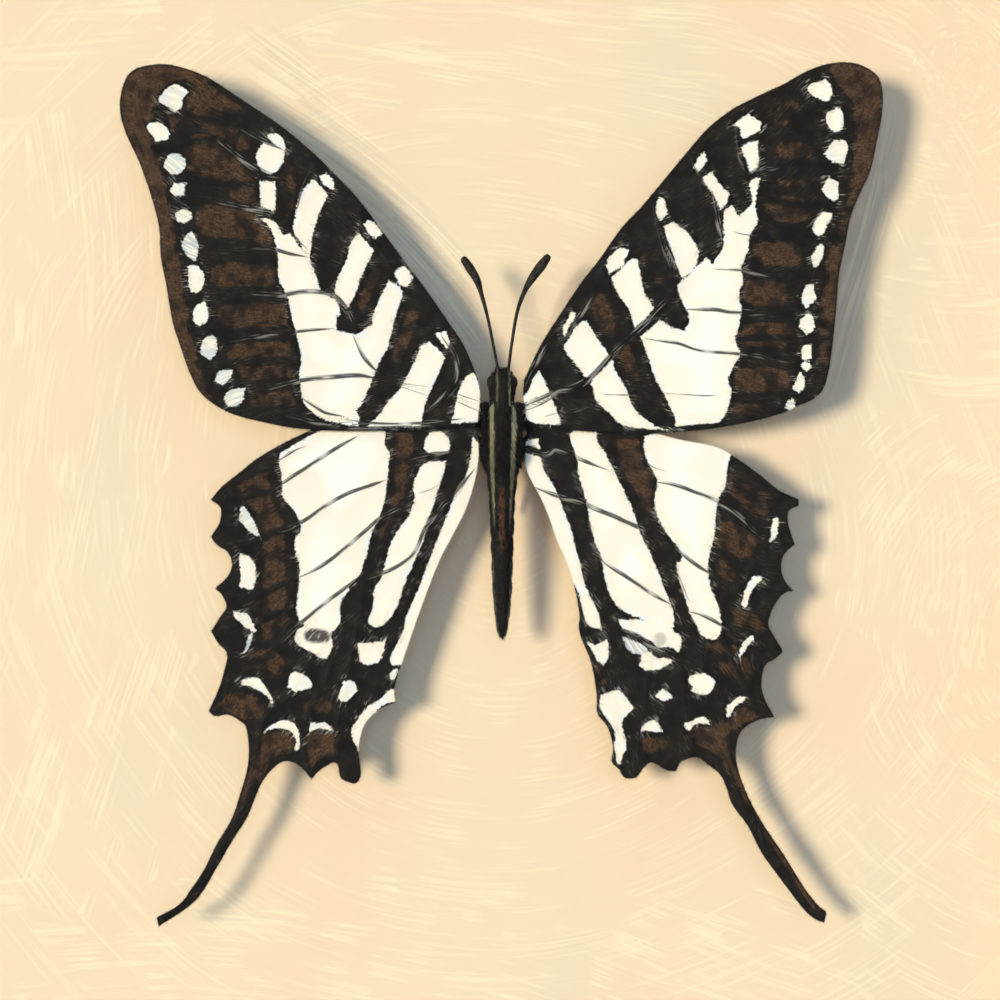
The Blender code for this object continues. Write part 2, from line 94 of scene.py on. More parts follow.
# %% [markdown]
# Small hand tools
#
# Most of Blender's operators act on whatever is selected, so every step starts by selecting exactly one
# thing. Modifiers are applied at once, and a finished piece has its place in its mesh: its object stays at
# the origin, so that a pattern on its coordinates never slides.


# %% Selecting, applying and settling
# A piece is shaded smooth below one of these angles: wood and metal, skin, and small round things.
CRISP = 40.0
SOFT = 60.0
ROUND = 80.0
# Turned so, a disc or a grid stands up and faces the front, and a camera looks ahead.
UPRIGHT = (math.pi / 2, 0.0, 0.0)


def pick(*things):
    """Leaves only these objects selected, with the first one active."""
    if bpy.context.mode != "OBJECT":
        bpy.ops.object.mode_set(mode="OBJECT")
    bpy.ops.object.select_all(action="DESELECT")
    for thing in things:
        thing.select_set(True)
    bpy.context.view_layer.objects.active = things[0]


def named(name):
    """The object that an operator has just added, with its own name."""
    made = bpy.context.active_object
    made.name = name
    made.data.name = name
    return made


def new_object(name, mesh):
    """An object with this mesh, in the scene."""
    made = bpy.data.objects.new(name, mesh)
    bpy.context.scene.collection.objects.link(made)
    return made


def apply_modifier(thing, name, kind, **settings):
    pick(thing)
    step = thing.modifiers.new(name, kind)
    for setting, value in settings.items():
        setattr(step, setting, value)
    bpy.ops.object.modifier_apply(modifier=step.name)


def edit_all(thing):
    """Opens a mesh in edit mode with everything selected."""
    pick(thing)
    bpy.ops.object.mode_set(mode="EDIT")
    bpy.ops.mesh.select_all(action="SELECT")


def settle(thing, smooth_angle=None):
    """Puts an object's place and size into its mesh, and shades it smooth below an angle in degrees."""
    pick(thing)
    bpy.ops.object.transform_apply(location=True, rotation=True, scale=True)
    if smooth_angle:
        bpy.ops.object.shade_smooth_by_angle(angle=math.radians(smooth_angle))


# %% Materials, places and attributes
def dress(thing, material):
    """Gives an object this material and no other."""
    thing.data.materials.clear()
    thing.data.materials.append(material)


def keep(thing, slot, material, *solids):
    """The piece gets its material, rides with the object and stands for these solids."""
    dress(thing, material)
    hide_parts(*solids)
    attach(thing, "root")
    print(thing.name, "has", len(thing.data.polygons), "faces")


def at(across, back, up):
    """A place in metres, from millimetres across and up from the middle of the picture."""
    return across * MM, back * MM, up * MM + CENTRE_UP


def corners(thing):
    """Where a mesh's vertices are, as rows of x, y and z."""
    flat = np.empty(len(thing.data.vertices) * 3)
    thing.data.vertices.foreach_get("co", flat)
    return flat.reshape(-1, 3)


def write_attribute(thing, name, values):
    """Gives each vertex a number, or three in a row, that a material can read by name."""
    values = np.asarray(values, np.float32)
    wide = values.ndim == 2
    made = thing.data.attributes.new(name, "FLOAT_VECTOR" if wide else "FLOAT", "POINT")
    made.data.foreach_set("vector" if wide else "value", values.ravel())


# %% [markdown]
# Shader maths as plain sums
#
# A pattern such as wood grain is arithmetic on coordinates and noise. Wiring a Math node for every sum is
# slow to read, so a small class stands for one output of a node: adding or multiplying two of them builds
# the Math node behind the scenes. One method makes every other node.
#
# Noise lies between 0 and 1, mostly near 0.5. rise turns it into a mask with soft edges: the lower its two
# numbers are, the more of the surface the mask covers, and the closer together, the harder its edges.


# %% Wires
def sum_of(operation):
    """A method of a wire that builds a Math node with this operation."""
    return lambda wire, *others: wire.finish.maths(operation, wire, *others)


class Wire:
    """One output of a shader node. Sums and products of wires build Math nodes."""

    def __init__(self, finish, node, output=0):
        self.finish = finish
        self.node = node
        self.socket = node.outputs[output]

    def out(self, output):
        return Wire(self.finish, self.node, output)

    __add__ = __radd__ = sum_of("ADD")
    __sub__ = sum_of("SUBTRACT")
    __mul__ = __rmul__ = sum_of("MULTIPLY")
    __gt__ = sum_of("GREATER_THAN")
    __lt__ = sum_of("LESS_THAN")
    __abs__ = sum_of("ABSOLUTE")
    above = sum_of("MAXIMUM")
    below = sum_of("MINIMUM")
    wave = sum_of("SINE")

    def __rsub__(self, other):
        return self.finish.maths("SUBTRACT", other, self)

    def rise(self, low, high):
        """From 0 at low to 1 at high, in a smooth slope."""
        limits = {"From Min": low, "From Max": high, "Value": self}
        return self.finish.node("ShaderNodeMapRange", {"interpolation_type": "SMOOTHSTEP"}, limits)

    def fall(self, low, high):
        """From 1 at low to 0 at high."""
        return 1.0 - self.rise(low, high)


# %% Finishes
class Finish:
    """A material that is being mixed."""

    def __init__(self, name):
        self.material = bpy.data.materials.new(name)
        self.material.use_nodes = True
        self.tree = self.material.node_tree
        self.shader = self.tree.nodes["Principled BSDF"]

    def node(self, kind, settings=None, inputs=None, output=0):
        """Any node: its settings first, then a value or a wire for each of its sockets."""
        made = self.tree.nodes.new(kind)
        for name, value in (settings or {}).items():
            setattr(made, name, value)
        for name, value in (inputs or {}).items():
            self.feed(made.inputs[name], value)
        return Wire(self, made, output)

    def feed(self, socket, value):
        if isinstance(value, Wire):
            self.tree.links.new(value.socket, socket)
        elif socket.type == "RGBA" and len(value) == 3:
            socket.default_value = (*value, 1.0)
        else:
            socket.default_value = value

    def put(self, **sockets):
        """Feeds the shader. Underscores in a name stand for spaces."""
        for name, value in sockets.items():
            self.feed(self.shader.inputs[name.replace("_", " ")], value)
        return self

    def maths(self, operation, *values):
        return self.node("ShaderNodeMath", {"operation": operation}, dict(enumerate(values)))

    def vectors(self, operation, first, second):
        place = "Scale" if operation == "SCALE" else 1
        return self.node("ShaderNodeVectorMath", {"operation": operation}, {0: first, place: second})

    def length(self, vector):
        return self.node("ShaderNodeVectorMath", {"operation": "LENGTH"}, {0: vector}, "Value")

    def place(self):
        """Where a point of the surface is, in millimetres."""
        return self.vectors("SCALE", self.node("ShaderNodeTexCoord", output="Object"), 1 / MM)

    def attribute(self, name, output="Fac"):
        return self.node("ShaderNodeAttribute", {"attribute_name": name}, output=output)

    def split(self, vector):
        """The x, y and z of a vector."""
        parts = self.node("ShaderNodeSeparateXYZ", inputs={0: vector})
        return parts, parts.out(1), parts.out(2)

    def joined(self, x, y, z=0.0):
        return self.node("ShaderNodeCombineXYZ", inputs={0: x, 1: y, 2: z})

    def noise(self, vector, stretch=(1.0, 1.0, 1.0), detail=2.0, rough=0.5, bend=0.0):
        """Cloudy noise with about so many lumps to a millimetre along x, y and z."""
        inputs = {"Vector": self.vectors("MULTIPLY", vector, stretch), "Scale": 1.0, "Detail": detail,
                  "Roughness": rough, "Distortion": bend}
        return self.node("ShaderNodeTexNoise", inputs=inputs)

    def cells(self, vector, stretch):
        """How far each place is from the middle of its cell, with so many cells to a millimetre."""
        inputs = {"Vector": self.vectors("MULTIPLY", vector, stretch), "Scale": 1.0}
        return self.node("ShaderNodeTexVoronoi", inputs=inputs)

    def mix(self, share, first, second):
        """The first colour where share is 0, the second where it is 1."""
        return self.node("ShaderNodeMix", {"data_type": "RGBA"}, {0: share, 6: first, 7: second}, 2)

    def bump(self, height, depth, strength=1.0):
        """A relief from a height of 0 to 1, whose depth is in millimetres."""
        inputs = {"Height": height, "Distance": depth * MM, "Strength": strength}
        return self.node("ShaderNodeBump", inputs=inputs)


# %% [markdown]
# The camera and the light
#
# The picture is taken square on, and its field is 92 mm wide where the wings are. A long lens from a short
# way off gives that. The wings throw their shadow about 4 mm to the right on the board, 6 mm behind them,
# so the main lamp stands to the left, 32 degrees off the straight line. It is a small softbox: a sun lamp
# with a wide disc gives the same soft edge everywhere.
#
# Large dim lamps fill the shadows. Their light is cool and the main lamp's is warm, so that shadows on the
# cream paint come out grey. The one behind the camera works as a ring light would, because light from there
# reaches every corner that the camera sees, and one more stands behind the frame and shows its back. A
# photographer keeps lamps and tables out of the glass with a polariser, and here they are simply hidden
# from mirrored rays. The floor is tinted warm, so that it looks a neutral grey in the cool light.

# %% Camera
FIELD = 92 * MM
LENS = 100.0
SENSOR = 36.0
WING_HEIGHT = 5.8 * MM
wing_plane = BOARD_FRONT - WING_HEIGHT
camera_back = FIELD * LENS / SENSOR
bpy.ops.object.camera_add(location=(0.0, wing_plane - camera_back, CENTRE_UP), rotation=UPRIGHT)
camera = named("camera")
camera.data.lens = LENS
camera.data.sensor_width = SENSOR
bpy.context.scene.camera = camera
print("camera", round(camera_back / MM), "mm in front of the wings")

# %% Lamps and surroundings
SHADOW_RIGHT = 0.62
SHADOW_DOWN = 0.07
KEY_STAND = (-0.6, -1.0, 0.5)
KEY_SIZE = 14.0
KEY_STRENGTH = 3.20
KEY_COLOUR = (1.0, 0.938, 0.768)
FILL_COLOUR = (0.433, 0.66, 1.0)
# Where each dim lamp stands, in metres, its power in watts and its width.
FILLS = {
    "fill_front": ((0.1, -1.6, 0.2), 10.9, 0.9),
    "fill_right": ((1.3, -1.2, 0.7), 5.7, 1.4),
    "fill_above": ((-0.5, -1.1, 1.5), 5.7, 1.4),
    "fill_behind": ((0.6, 1.4, 0.9), 17.8, 1.4),
}
SKY_COLOUR = (0.60, 0.78, 1.0, 1.0)
SKY_STRENGTH = 0.03


def aim(direction):
    """How a lamp is turned to shine this way."""
    return Vector(direction).to_track_quat("-Z", "Y").to_euler()


def hide_from_glass(thing):
    """Keeps a lamp or the floor out of the rays that glass mirrors or lets through."""
    thing.visible_glossy = False
    thing.visible_transmission = False


bpy.ops.object.light_add(type="SUN", location=KEY_STAND, rotation=aim((SHADOW_RIGHT, 1.0, -SHADOW_DOWN)))
key = named("key_softbox")
key.data.energy = KEY_STRENGTH
key.data.angle = math.radians(KEY_SIZE)
key.data.color = KEY_COLOUR
for name, (stand, power, wide) in FILLS.items():
    way = Vector((0.0, 0.0, CENTRE_UP)) - Vector(stand)
    bpy.ops.object.light_add(type="AREA", location=stand, rotation=aim(way))
    lamp = named(name)
    lamp.data.shape = "DISK"
    lamp.data.size = wide
    lamp.data.energy = power
    lamp.data.color = FILL_COLOUR
    hide_from_glass(lamp)

world = bpy.data.worlds.new("studio")
bpy.context.scene.world = world
world.use_nodes = True
sky = world.node_tree.nodes["Background"].inputs
sky["Color"].default_value = SKY_COLOUR
sky["Strength"].default_value = SKY_STRENGTH
bpy.context.scene.view_settings.view_transform = "Standard"

# %% A pale floor
FLOOR_SIZE = 3.0
FLOOR_GAP = 0.2 * MM
FLOOR_TONES = ((0.72, 0.53, 0.38), (0.78, 0.58, 0.42))
bpy.ops.mesh.primitive_plane_add(size=FLOOR_SIZE, location=(0.0, 0.0, cad_low.z - FLOOR_GAP))
floor = named("floor")
settle(floor)
pale_floor = Finish("pale_floor")
cloud = pale_floor.noise(pale_floor.place(), (0.01, 0.01, 0.01), 3.0)
pale_floor.put(Base_Color=pale_floor.mix(cloud, *FLOOR_TONES), Roughness=0.9)
dress(floor, pale_floor.material)
hide_from_glass(floor)
floor.visible_shadow = False

# %% [markdown]
# The wooden rails
#
# The four rails are mitred strips of stained wood. Their solids have the right section, slots and pocket,
# but edges as sharp as a knife, and real edges are sanded. So each rail is a copy of its solid: the loose
# triangles are merged, flat faces are joined again, and a small bevel rounds every edge and catches light.
# Grain runs along a rail, so the level and the upright rails need one finish each, with the noise stretched
# along another axis.

# %% Rounding copies of the solids
SANDED = 0.3
MERGE = 0.002 * MM
FLAT_ENOUGH = math.radians(1.0)
SHARP_ENOUGH = math.radians(30.0)


def dressed_copy(name, solid, edge, segments=3):
    """A copy of a solid with its edges rounded by so many millimetres."""
    made = new_object(name, nodes[solid].data.copy())
    edit_all(made)
    bpy.ops.mesh.remove_doubles(threshold=MERGE)
    bpy.ops.mesh.dissolve_limited(angle_limit=FLAT_ENOUGH)
    bpy.ops.mesh.normals_make_consistent(inside=False)
    bpy.ops.object.mode_set(mode="OBJECT")
    apply_modifier(made, "round", "BEVEL", width=edge * MM, segments=segments, limit_method="ANGLE",
                   angle_limit=SHARP_ENOUGH, miter_outer="MITER_ARC")
    settle(made, CRISP)
    return made


# %% Stained wood
WOOD_DARK = (0.013, 0.0065, 0.0038)
WOOD_LIGHT = (0.050, 0.024, 0.012)
WOOD_FIBRE = (0.085, 0.043, 0.022)
WOOD_PORE = (0.006, 0.004, 0.003)
WOOD_WORN = (0.16, 0.088, 0.045)
ALONG_GRAIN = 0.05


def stained_wood(name, along):
    """Dark stained wood with its grain along the axis of this number."""
    wood = Finish(name)
    place = wood.place()
    long_way = [1.0, 1.0, 1.0]
    long_way[along] = ALONG_GRAIN

    def stretched(lumps, *details):
        return wood.noise(place, [lumps * share for share in long_way], *details)

    warp = stretched(0.12, 2.0)
    rings = stretched(0.45, 4.0, 0.6, 0.8)
    fibres = stretched(5.0, 3.0, 0.6)
    pores = stretched(9.0, 1.0).rise(0.62, 0.74)
    figure = (rings * 5.0 + warp * 7.0).wave() * 0.5 + 0.5
    dark = wood.mix(figure, WOOD_DARK, WOOD_LIGHT)
    streaked = wood.mix(fibres.rise(0.35, 0.75) * 0.6, dark, WOOD_FIBRE)
    filled = wood.mix(pores * 0.8, streaked, WOOD_PORE)
    # Hands have rubbed the stain off the outer front edges here and there.
    x, y, z = wood.split(place)
    out = abs(x).above(abs(z - UP_MM))
    half = (cad_high.x - cad_low.x) / 2 / MM
    deep = cad_high.y / MM
    knocks = wood.noise(place, (0.35, 0.35, 0.35), 4.0, 0.65)
    near_edge = out.rise(half - 1.3, half - 0.1) * (0.0 - y).rise(deep - 1.6, deep - 0.2)
    worn = near_edge * knocks.rise(0.5, 0.62)
    relief = (1.0 - pores) * 0.7 + fibres * 0.3
    wood.put(Base_Color=wood.mix(worn * 0.55, filled, WOOD_WORN),
             Roughness=0.34 + fibres * 0.16 + pores * 0.2 + worn * 0.15,
             Normal=wood.bump(relief, 0.05, 0.6), Coat_Weight=0.25 - worn * 0.2, Coat_Roughness=0.22)
    return wood.material


level_wood = stained_wood("stained_wood_level", 0)
upright_wood = stained_wood("stained_wood_upright", 2)
for side, wood in zip(SIDES, (level_wood, upright_wood, level_wood, upright_wood)):
    keep(dressed_copy(f"{side}_rail", f"rail_{side}", SANDED), "frame_wood", wood, f"rail_{side}")

# %% [markdown]
# The glass
#
# The pane keeps its solid: a sheet of glass is a plain box. Light that only passes through it on its way
# from a lamp isn't bent enough to see, so the pane throws no shadow, and that keeps the picture clean.
# The faintest green belongs to thin picture glass, and low gloss to a pane made not to mirror the room.

# %% Picture glass
GLASS_TINTS = ((0.985, 0.995, 0.99), (0.995, 1.0, 0.995))
glass = Finish("picture_glass")
smear = glass.noise(glass.place(), (0.03, 0.03, 0.03), 3.0, 0.6)
glass.put(Base_Color=glass.mix(smear, *GLASS_TINTS), Roughness=0.0, IOR=1.5, Transmission_Weight=1.0,
          Specular_IOR_Level=0.3)
pane = nodes["glass_pane"]
dress(pane, glass.material)
pane.visible_shadow = False
pane.visible_diffuse = False

# %% [markdown]
# The board and its paint
#
# The board behind the insect is brushed with cream paint. Brush marks are bundles of fine bristle lines.
# Noise that is stretched along one direction makes the lines, and noise that is stretched less says where a
# brush has left them. A hand swings the brush in arcs, so each stroke's way is a circle about some middle.
#
# The first coat went round the insect in wide arcs. The second was done in patches, each with arcs about a
# middle of its own: up and down the left side, across the top and the bottom, in swirls at the right, and
# along the edges of the forewings, where grey streaks are painted shadow: they lie where the wings' shadows
# fall on the board. At every place only one patch counts, so two pairs of noises are enough for all of
# them.
# The two strips beside the forewings end softly, because each is a product of slopes.


# %% Brush marks
def arcs(paint, middle, reach):
    """How far along and how far out a place is on arcs about a middle."""
    x, _, z = paint.split(paint.place())
    x, z = x - middle[0], z - (UP_MM + middle[1])
    return paint.maths("ARCTAN2", z, x) * reach, paint.length(paint.joined(x, z))


def bristle_lines(paint, along, across, number):
    """How light the bristle lines are, and where the brush left them."""
    lines = paint.noise(paint.joined(along * 0.11, across * 3.0, number), detail=2.0, rough=0.6)
    bundles = paint.noise(paint.joined(along * 0.16, across * 0.34, number), detail=1.0)
    return lines, bundles.rise(0.42, 0.60)


# %% Cream paint
CREAM = (0.800, 0.612, 0.402)
WARM_CREAM = (0.800, 0.594, 0.382)
GREYED_CREAM = (0.745, 0.592, 0.412)
LIGHT_STROKE = (0.890, 0.745, 0.490)
# The grey of the painted shadow streaks beside the forewings.
PAINTED_SHADOW_GREY = (0.58, 0.47, 0.335)
SWAY = 9.0
ROUGH_EDGES = 14.0
FIRST_COAT = 0.75
paint = Finish("brushed_cream_paint")
place = paint.place()
cloud = paint.noise(place, (0.045, 0.045, 0.045), 1.0)
sway = (paint.noise(place, (0.028, 0.028, 0.028), 0.0) - 0.5) * SWAY
x, _, z = paint.split(place)
z = z - UP_MM
rough = (paint.noise(place, (0.16, 0.16, 0.16), 1.0) - 0.5) * ROUGH_EDGES
beside_left_wing = x * 0.787 + z * 0.615 + rough * 0.3
beside_right_wing = x - z * 0.2 + rough * 0.3
rough_z = z + rough * 0.5
# The two strips beside the forewings hold painted shadow, where the wings' shadows fall on the board.
left_painted_shadow_strip = beside_left_wing.rise(4.8, 6.6) * beside_left_wing.fall(9.5, 12.0)
left_painted_shadow_strip = left_painted_shadow_strip * x.rise(-27.0, -18.0) * x.fall(-3.5, -1.0)
right_painted_shadow_strip = beside_right_wing.rise(26.2, 27.2) * beside_right_wing.fall(29.5, 32.0)
right_painted_shadow_strip = right_painted_shadow_strip * rough_z.rise(6.0, 13.0) * rough_z.fall(29.0, 38.0)
# Each patch of the second coat: the middle of its arcs, its distance, and how strongly it shows.
PATCHES = (
    ((-175.0, 25.0), 140.0, x + rough < -31.0),
    ((-30.0, -170.0), 190.0, abs(z) + rough > 37.0),
    ((43.0, 40.0), 34.0, (x + rough > 37.0) * (z > 8.0)),
    ((54.0, -12.0), 40.0, (x + rough > 33.0) * (z < 8.0)),
    ((-175.0, 63.0), 205.0, right_painted_shadow_strip),
    ((-118.0, -92.0), 156.0, left_painted_shadow_strip),
)

# %% The two coats
along, across = arcs(paint, (0.0, 0.0), 30.0)
coats = [(along, across + sway, 3.0, FIRST_COAT)]
second_along, second_across, number, patched = along, across, 0.0 * along, 0.0 * along
for middle, reach, shown in PATCHES:
    here = shown > 0.0
    along, across = arcs(paint, middle, reach)
    second_along = here * (along - second_along) + second_along
    second_across = here * (across - second_across) + second_across
    number = number + here * 3.7
    patched = here * (shown - patched) + patched
coats.append((second_along, second_across + sway * 0.8, number, patched))
# Both painted shadow strips together.
streaked = left_painted_shadow_strip.above(right_painted_shadow_strip)

# %% The colour of the paint
colour = paint.mix(cloud.rise(0.40, 0.62), CREAM, WARM_CREAM)
colour = paint.mix(paint.noise(place, (0.06, 0.2, 0.025), 2.0).rise(0.52, 0.66) * 0.6, colour, GREYED_CREAM)
for along, across, number, shown in coats:
    lines, left = bristle_lines(paint, along, across, number)
    colour = paint.mix(lines.rise(0.47, 0.66) * left * shown * 0.60, colour, LIGHT_STROKE)
    colour = paint.mix((1.0 - lines).rise(0.52, 0.68) * left * shown * 0.36, colour, GREYED_CREAM)
# Grey and light streaks in the two strips are painted shadow.
colour = paint.mix((1.0 - lines).rise(0.48, 0.62) * streaked * 0.42, colour, PAINTED_SHADOW_GREY)
colour = paint.mix(lines.rise(0.50, 0.64) * streaked * 0.40, colour, LIGHT_STROKE)
canvas = paint.noise(place, (3.0, 3.0, 3.0), 1.0)
paint.put(Base_Color=colour, Roughness=0.62, Normal=paint.bump(canvas, 0.03, 0.4))
dress(nodes["backing_board"], paint.material)

# %% Cream paper on the spacers
PAPER_TONES = ((0.80, 0.70, 0.54), (0.86, 0.77, 0.61))
PAPER_FIBRE = (0.68, 0.57, 0.42)
paper = Finish("cream_paper_strip")
place = paper.place()
pulp = paper.noise(place, (1.4, 1.4, 1.4), 4.0, 0.7)
fibres = paper.noise(place, (0.5, 4.0, 0.5), 2.0, 0.6, 1.5)
colour = paper.mix(pulp.rise(0.35, 0.65), *PAPER_TONES)
colour = paper.mix(fibres.rise(0.62, 0.7) * 0.3, colour, PAPER_FIBRE)
paper.put(Base_Color=colour, Roughness=0.85, Normal=paper.bump(pulp * 0.6 + fibres * 0.4, 0.03, 0.6))
for side in SIDES:
    dress(nodes[f"spacer_{side}"], paper.material)

# %% The fibreboard behind
BOARD_TONES = ((0.165, 0.092, 0.045), (0.27, 0.160, 0.085))
BOARD_FLUFF = (0.38, 0.25, 0.145)
BOARD_FLECK = (0.07, 0.04, 0.022)
hardboard = Finish("brown_fibreboard")
place = hardboard.place()
mottle = hardboard.noise(place, (0.25, 0.25, 0.25), 4.0, 0.6)
fluff = hardboard.noise(place, (2.2, 2.2, 2.2), 4.0, 0.7, 2.0)
flecks = hardboard.cells(place, (0.9, 0.9, 0.9)).fall(0.05, 0.16)
colour = hardboard.mix(mottle.rise(0.3, 0.7), *BOARD_TONES)
colour = hardboard.mix(fluff.rise(0.5, 0.72) * 0.6, colour, BOARD_FLUFF)
colour = hardboard.mix(flecks * 0.7, colour, BOARD_FLECK)
hardboard.put(Base_Color=colour, Roughness=0.8 - fluff * 0.15, Normal=hardboard.bump(fluff, 0.12, 0.7))
dress(nodes["back_panel"], hardboard.material)

# %% [markdown]
# The metal parts
#
# The hanger's plate is a zinc-plated strip with teeth, rounded like the rails. Its two nails are turned
# afresh with more sides and a domed head. The eight framer's points and the insect's pin are so plain
# that their solids stay. Zinc has a crystal pattern, and rolled steel has fine lines along its length.


# %% Metal finishes
STAIN = (0.24, 0.20, 0.16)
DARKER = 0.72
PLATE_EDGE = 0.1


def metal(name, colour, dull, stretch, spangle):
    """Stained metal with so many crystals to a millimetre, and fine lines along its longest way."""
    made = Finish(name)
    place = made.place()
    lines = made.noise(place, stretch, 3.0, 0.6)
    tone, _, _ = made.split(made.cells(place, (spangle, spangle, spangle)).out("Color"))
    stains = made.noise(place, (0.25, 0.25, 0.25), 3.0, 0.6).rise(0.5, 0.75)
    mixed = made.mix(tone * 0.5 + lines * 0.5, tuple(share * DARKER for share in colour), colour)
    made.put(Base_Color=made.mix(stains * 0.4, mixed, STAIN), Metallic=1.0,
             Roughness=dull + lines * 0.18 + stains * 0.2, Normal=made.bump(lines, 0.01, 0.4))
    return made.material


zinc = metal("zinc_plate", (0.62, 0.63, 0.66), 0.28, (0.4, 4.0, 6.0), 0.8)
tinned = metal("tinned_steel", (0.60, 0.59, 0.57), 0.32, (3.0, 3.0, 3.0), 0.5)
polished = metal("pin_steel", (0.58, 0.57, 0.55), 0.2, (7.0, 0.7, 7.0), 2.0)
for name, solid in nodes.items():
    if name.startswith("framers_point"):
        dress(solid, tinned)
dress(nodes["mounting_pin"], polished)
plate = dressed_copy("hanger_plate", "sawtooth_hanger", PLATE_EDGE, 2)
keep(plate, "hanger_steel", zinc, "sawtooth_hanger")

# %% Domed nails
NAIL_SIDES = 40
NAIL_SHANK = 0.58
SHANK_SHARE = 0.94
NAIL_HEAD = (1.35, 0.62)
for side in ("left", "right"):
    low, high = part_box(f"hanger_nail_{side}")
    middle = (low + high) / 2
    deep = high.y - low.y
    back = middle.y - deep * (1.0 - SHANK_SHARE) / 2
    bpy.ops.mesh.primitive_cylinder_add(vertices=NAIL_SIDES, radius=NAIL_SHANK * MM,
                                        depth=deep * SHANK_SHARE, location=(middle.x, back, middle.z),
                                        rotation=UPRIGHT)
    nail = named(f"hanger_nail_{side}_turned")
    settle(nail)
    wide, domed = (size * MM for size in NAIL_HEAD)
    bpy.ops.mesh.primitive_uv_sphere_add(segments=NAIL_SIDES, ring_count=NAIL_SIDES // 2, radius=1.0,
                                         location=(middle.x, high.y - domed, middle.z),
                                         scale=(wide, domed, wide))
    head = named("nail_head")
    settle(head)
    pick(nail, head)
    bpy.ops.object.join()
    settle(nail, CRISP)
    keep(nail, "hanger_steel", zinc, f"hanger_nail_{side}")

# %% [markdown]
# Lines and distances in the plane of the wings
#
# A wing is drawn before it is modelled. Its edge, its pale marks and its veins are lines through a few
# points each. All that a mark needs is how far a place on the wing is from those lines, so the next
# functions answer that for thousands of places at once.
#
# A line bends smoothly through its points. In a mark, a turn of more than 50 degrees stays a corner.

# %% Lines through points
CORNER = math.radians(50.0)


def travelled(line):
    """How far along a line each of its points is."""
    return np.concatenate([[0.0], np.cumsum(np.hypot(*np.diff(line, axis=0).T))])


def line_through(drawn, step, closed=False, corner=CORNER):
    """Rows of x and z along a smooth line, one every so many millimetres or less.

    It is drawn by the x and z of its first point, those of its second point, and so on.
    """
    knots = [Vector((x, z, 0.0)) for x, z in zip(drawn[::2], drawn[1::2])]
    count = len(knots)
    rows = []
    for first in range(count if closed else count - 1):
        steps = [first + shift for shift in (-1, 0, 1, 2)]
        if closed:
            before, start, end, after = [knots[knot % count] for knot in steps]
        else:
            before, start, end, after = [knots[min(max(knot, 0), count - 1)] for knot in steps]
        way = end - start
        leave = end - before if (start - before).angle(way, 0.0) < corner else way
        arrive = after - start if way.angle(after - end, 0.0) < corner else way
        reach = way.length / 3
        pieces = math.ceil(way.length / step)
        handles = (start + leave.normalized() * reach, end - arrive.normalized() * reach)
        curve = geometry.interpolate_bezier(start, *handles, end, pieces + 1)
        rows += [(point.x, point.y) for point in curve[:-1]]
    rows.append(rows[0] if closed else drawn[-2:])
    return np.array(rows)


# %% Distances from lines
def near(line, places):
    """How far each place is from a line, how far along, on which side, and the point of the line."""
    ways = np.diff(line, axis=0)
    lengths = np.hypot(*ways.T)
    gone = np.cumsum(lengths) - lengths
    far = np.full(len(places), np.inf)
    along = np.zeros(len(places))
    side = np.zeros(len(places))
    foot = np.array(places)
    for start, way, length, before in zip(line, ways, lengths, gone):
        offset = places - start
        share = np.clip(offset @ way / length ** 2, 0.0, 1.0)
        gap = offset - share[:, None] * way
        distance = np.hypot(*gap.T)
        closer = distance < far
        far[closer] = distance[closer]
        along[closer] = before + share[closer] * length
        side[closer] = np.sign(way[0] * offset[closer, 1] - way[1] * offset[closer, 0])
        foot[closer] = start + share[closer, None] * way
    return far, along, side * far, foot


def depth(loop, places):
    """How far each place is inside a closed line. Outside it is less than 0."""
    x, z = places.T
    within = np.zeros(len(places), bool)
    for (x1, z1), (x2, z2) in zip(loop, loop[1:]):
        if z1 != z2:
            within ^= ((z1 > z) != (z2 > z)) & (x < (x2 - x1) * (z - z1) / (z2 - z1) + x1)
    return near(loop, places)[0] * np.where(within, 1.0, -1.0)


def slope(values, low, high):
    """From 0 at low to 1 at high, in a smooth slope."""
    share = np.clip((values - low) / (high - low), 0.0, 1.0)
    return share * share * (3.0 - 2.0 * share)


def close_by(line, places, reach):
    """Which places are in the line's box, grown by so many millimetres."""
    return np.flatnonzero(((places > line.min(0) - reach) & (places < line.max(0) + reach)).all(1))


# %% [markdown]
# Drawing the four wings
#
# The insect is a black and cream swallowtail. Each wing has its own drawing, because the left and the
# right of a real insect are never quite the same. All numbers are millimetres across and up the picture
# from its middle, and the two numbers of a point follow those of the point before.
#
# An outline is a closed line of stretches that meet at the points of the teeth and at the wing's root.

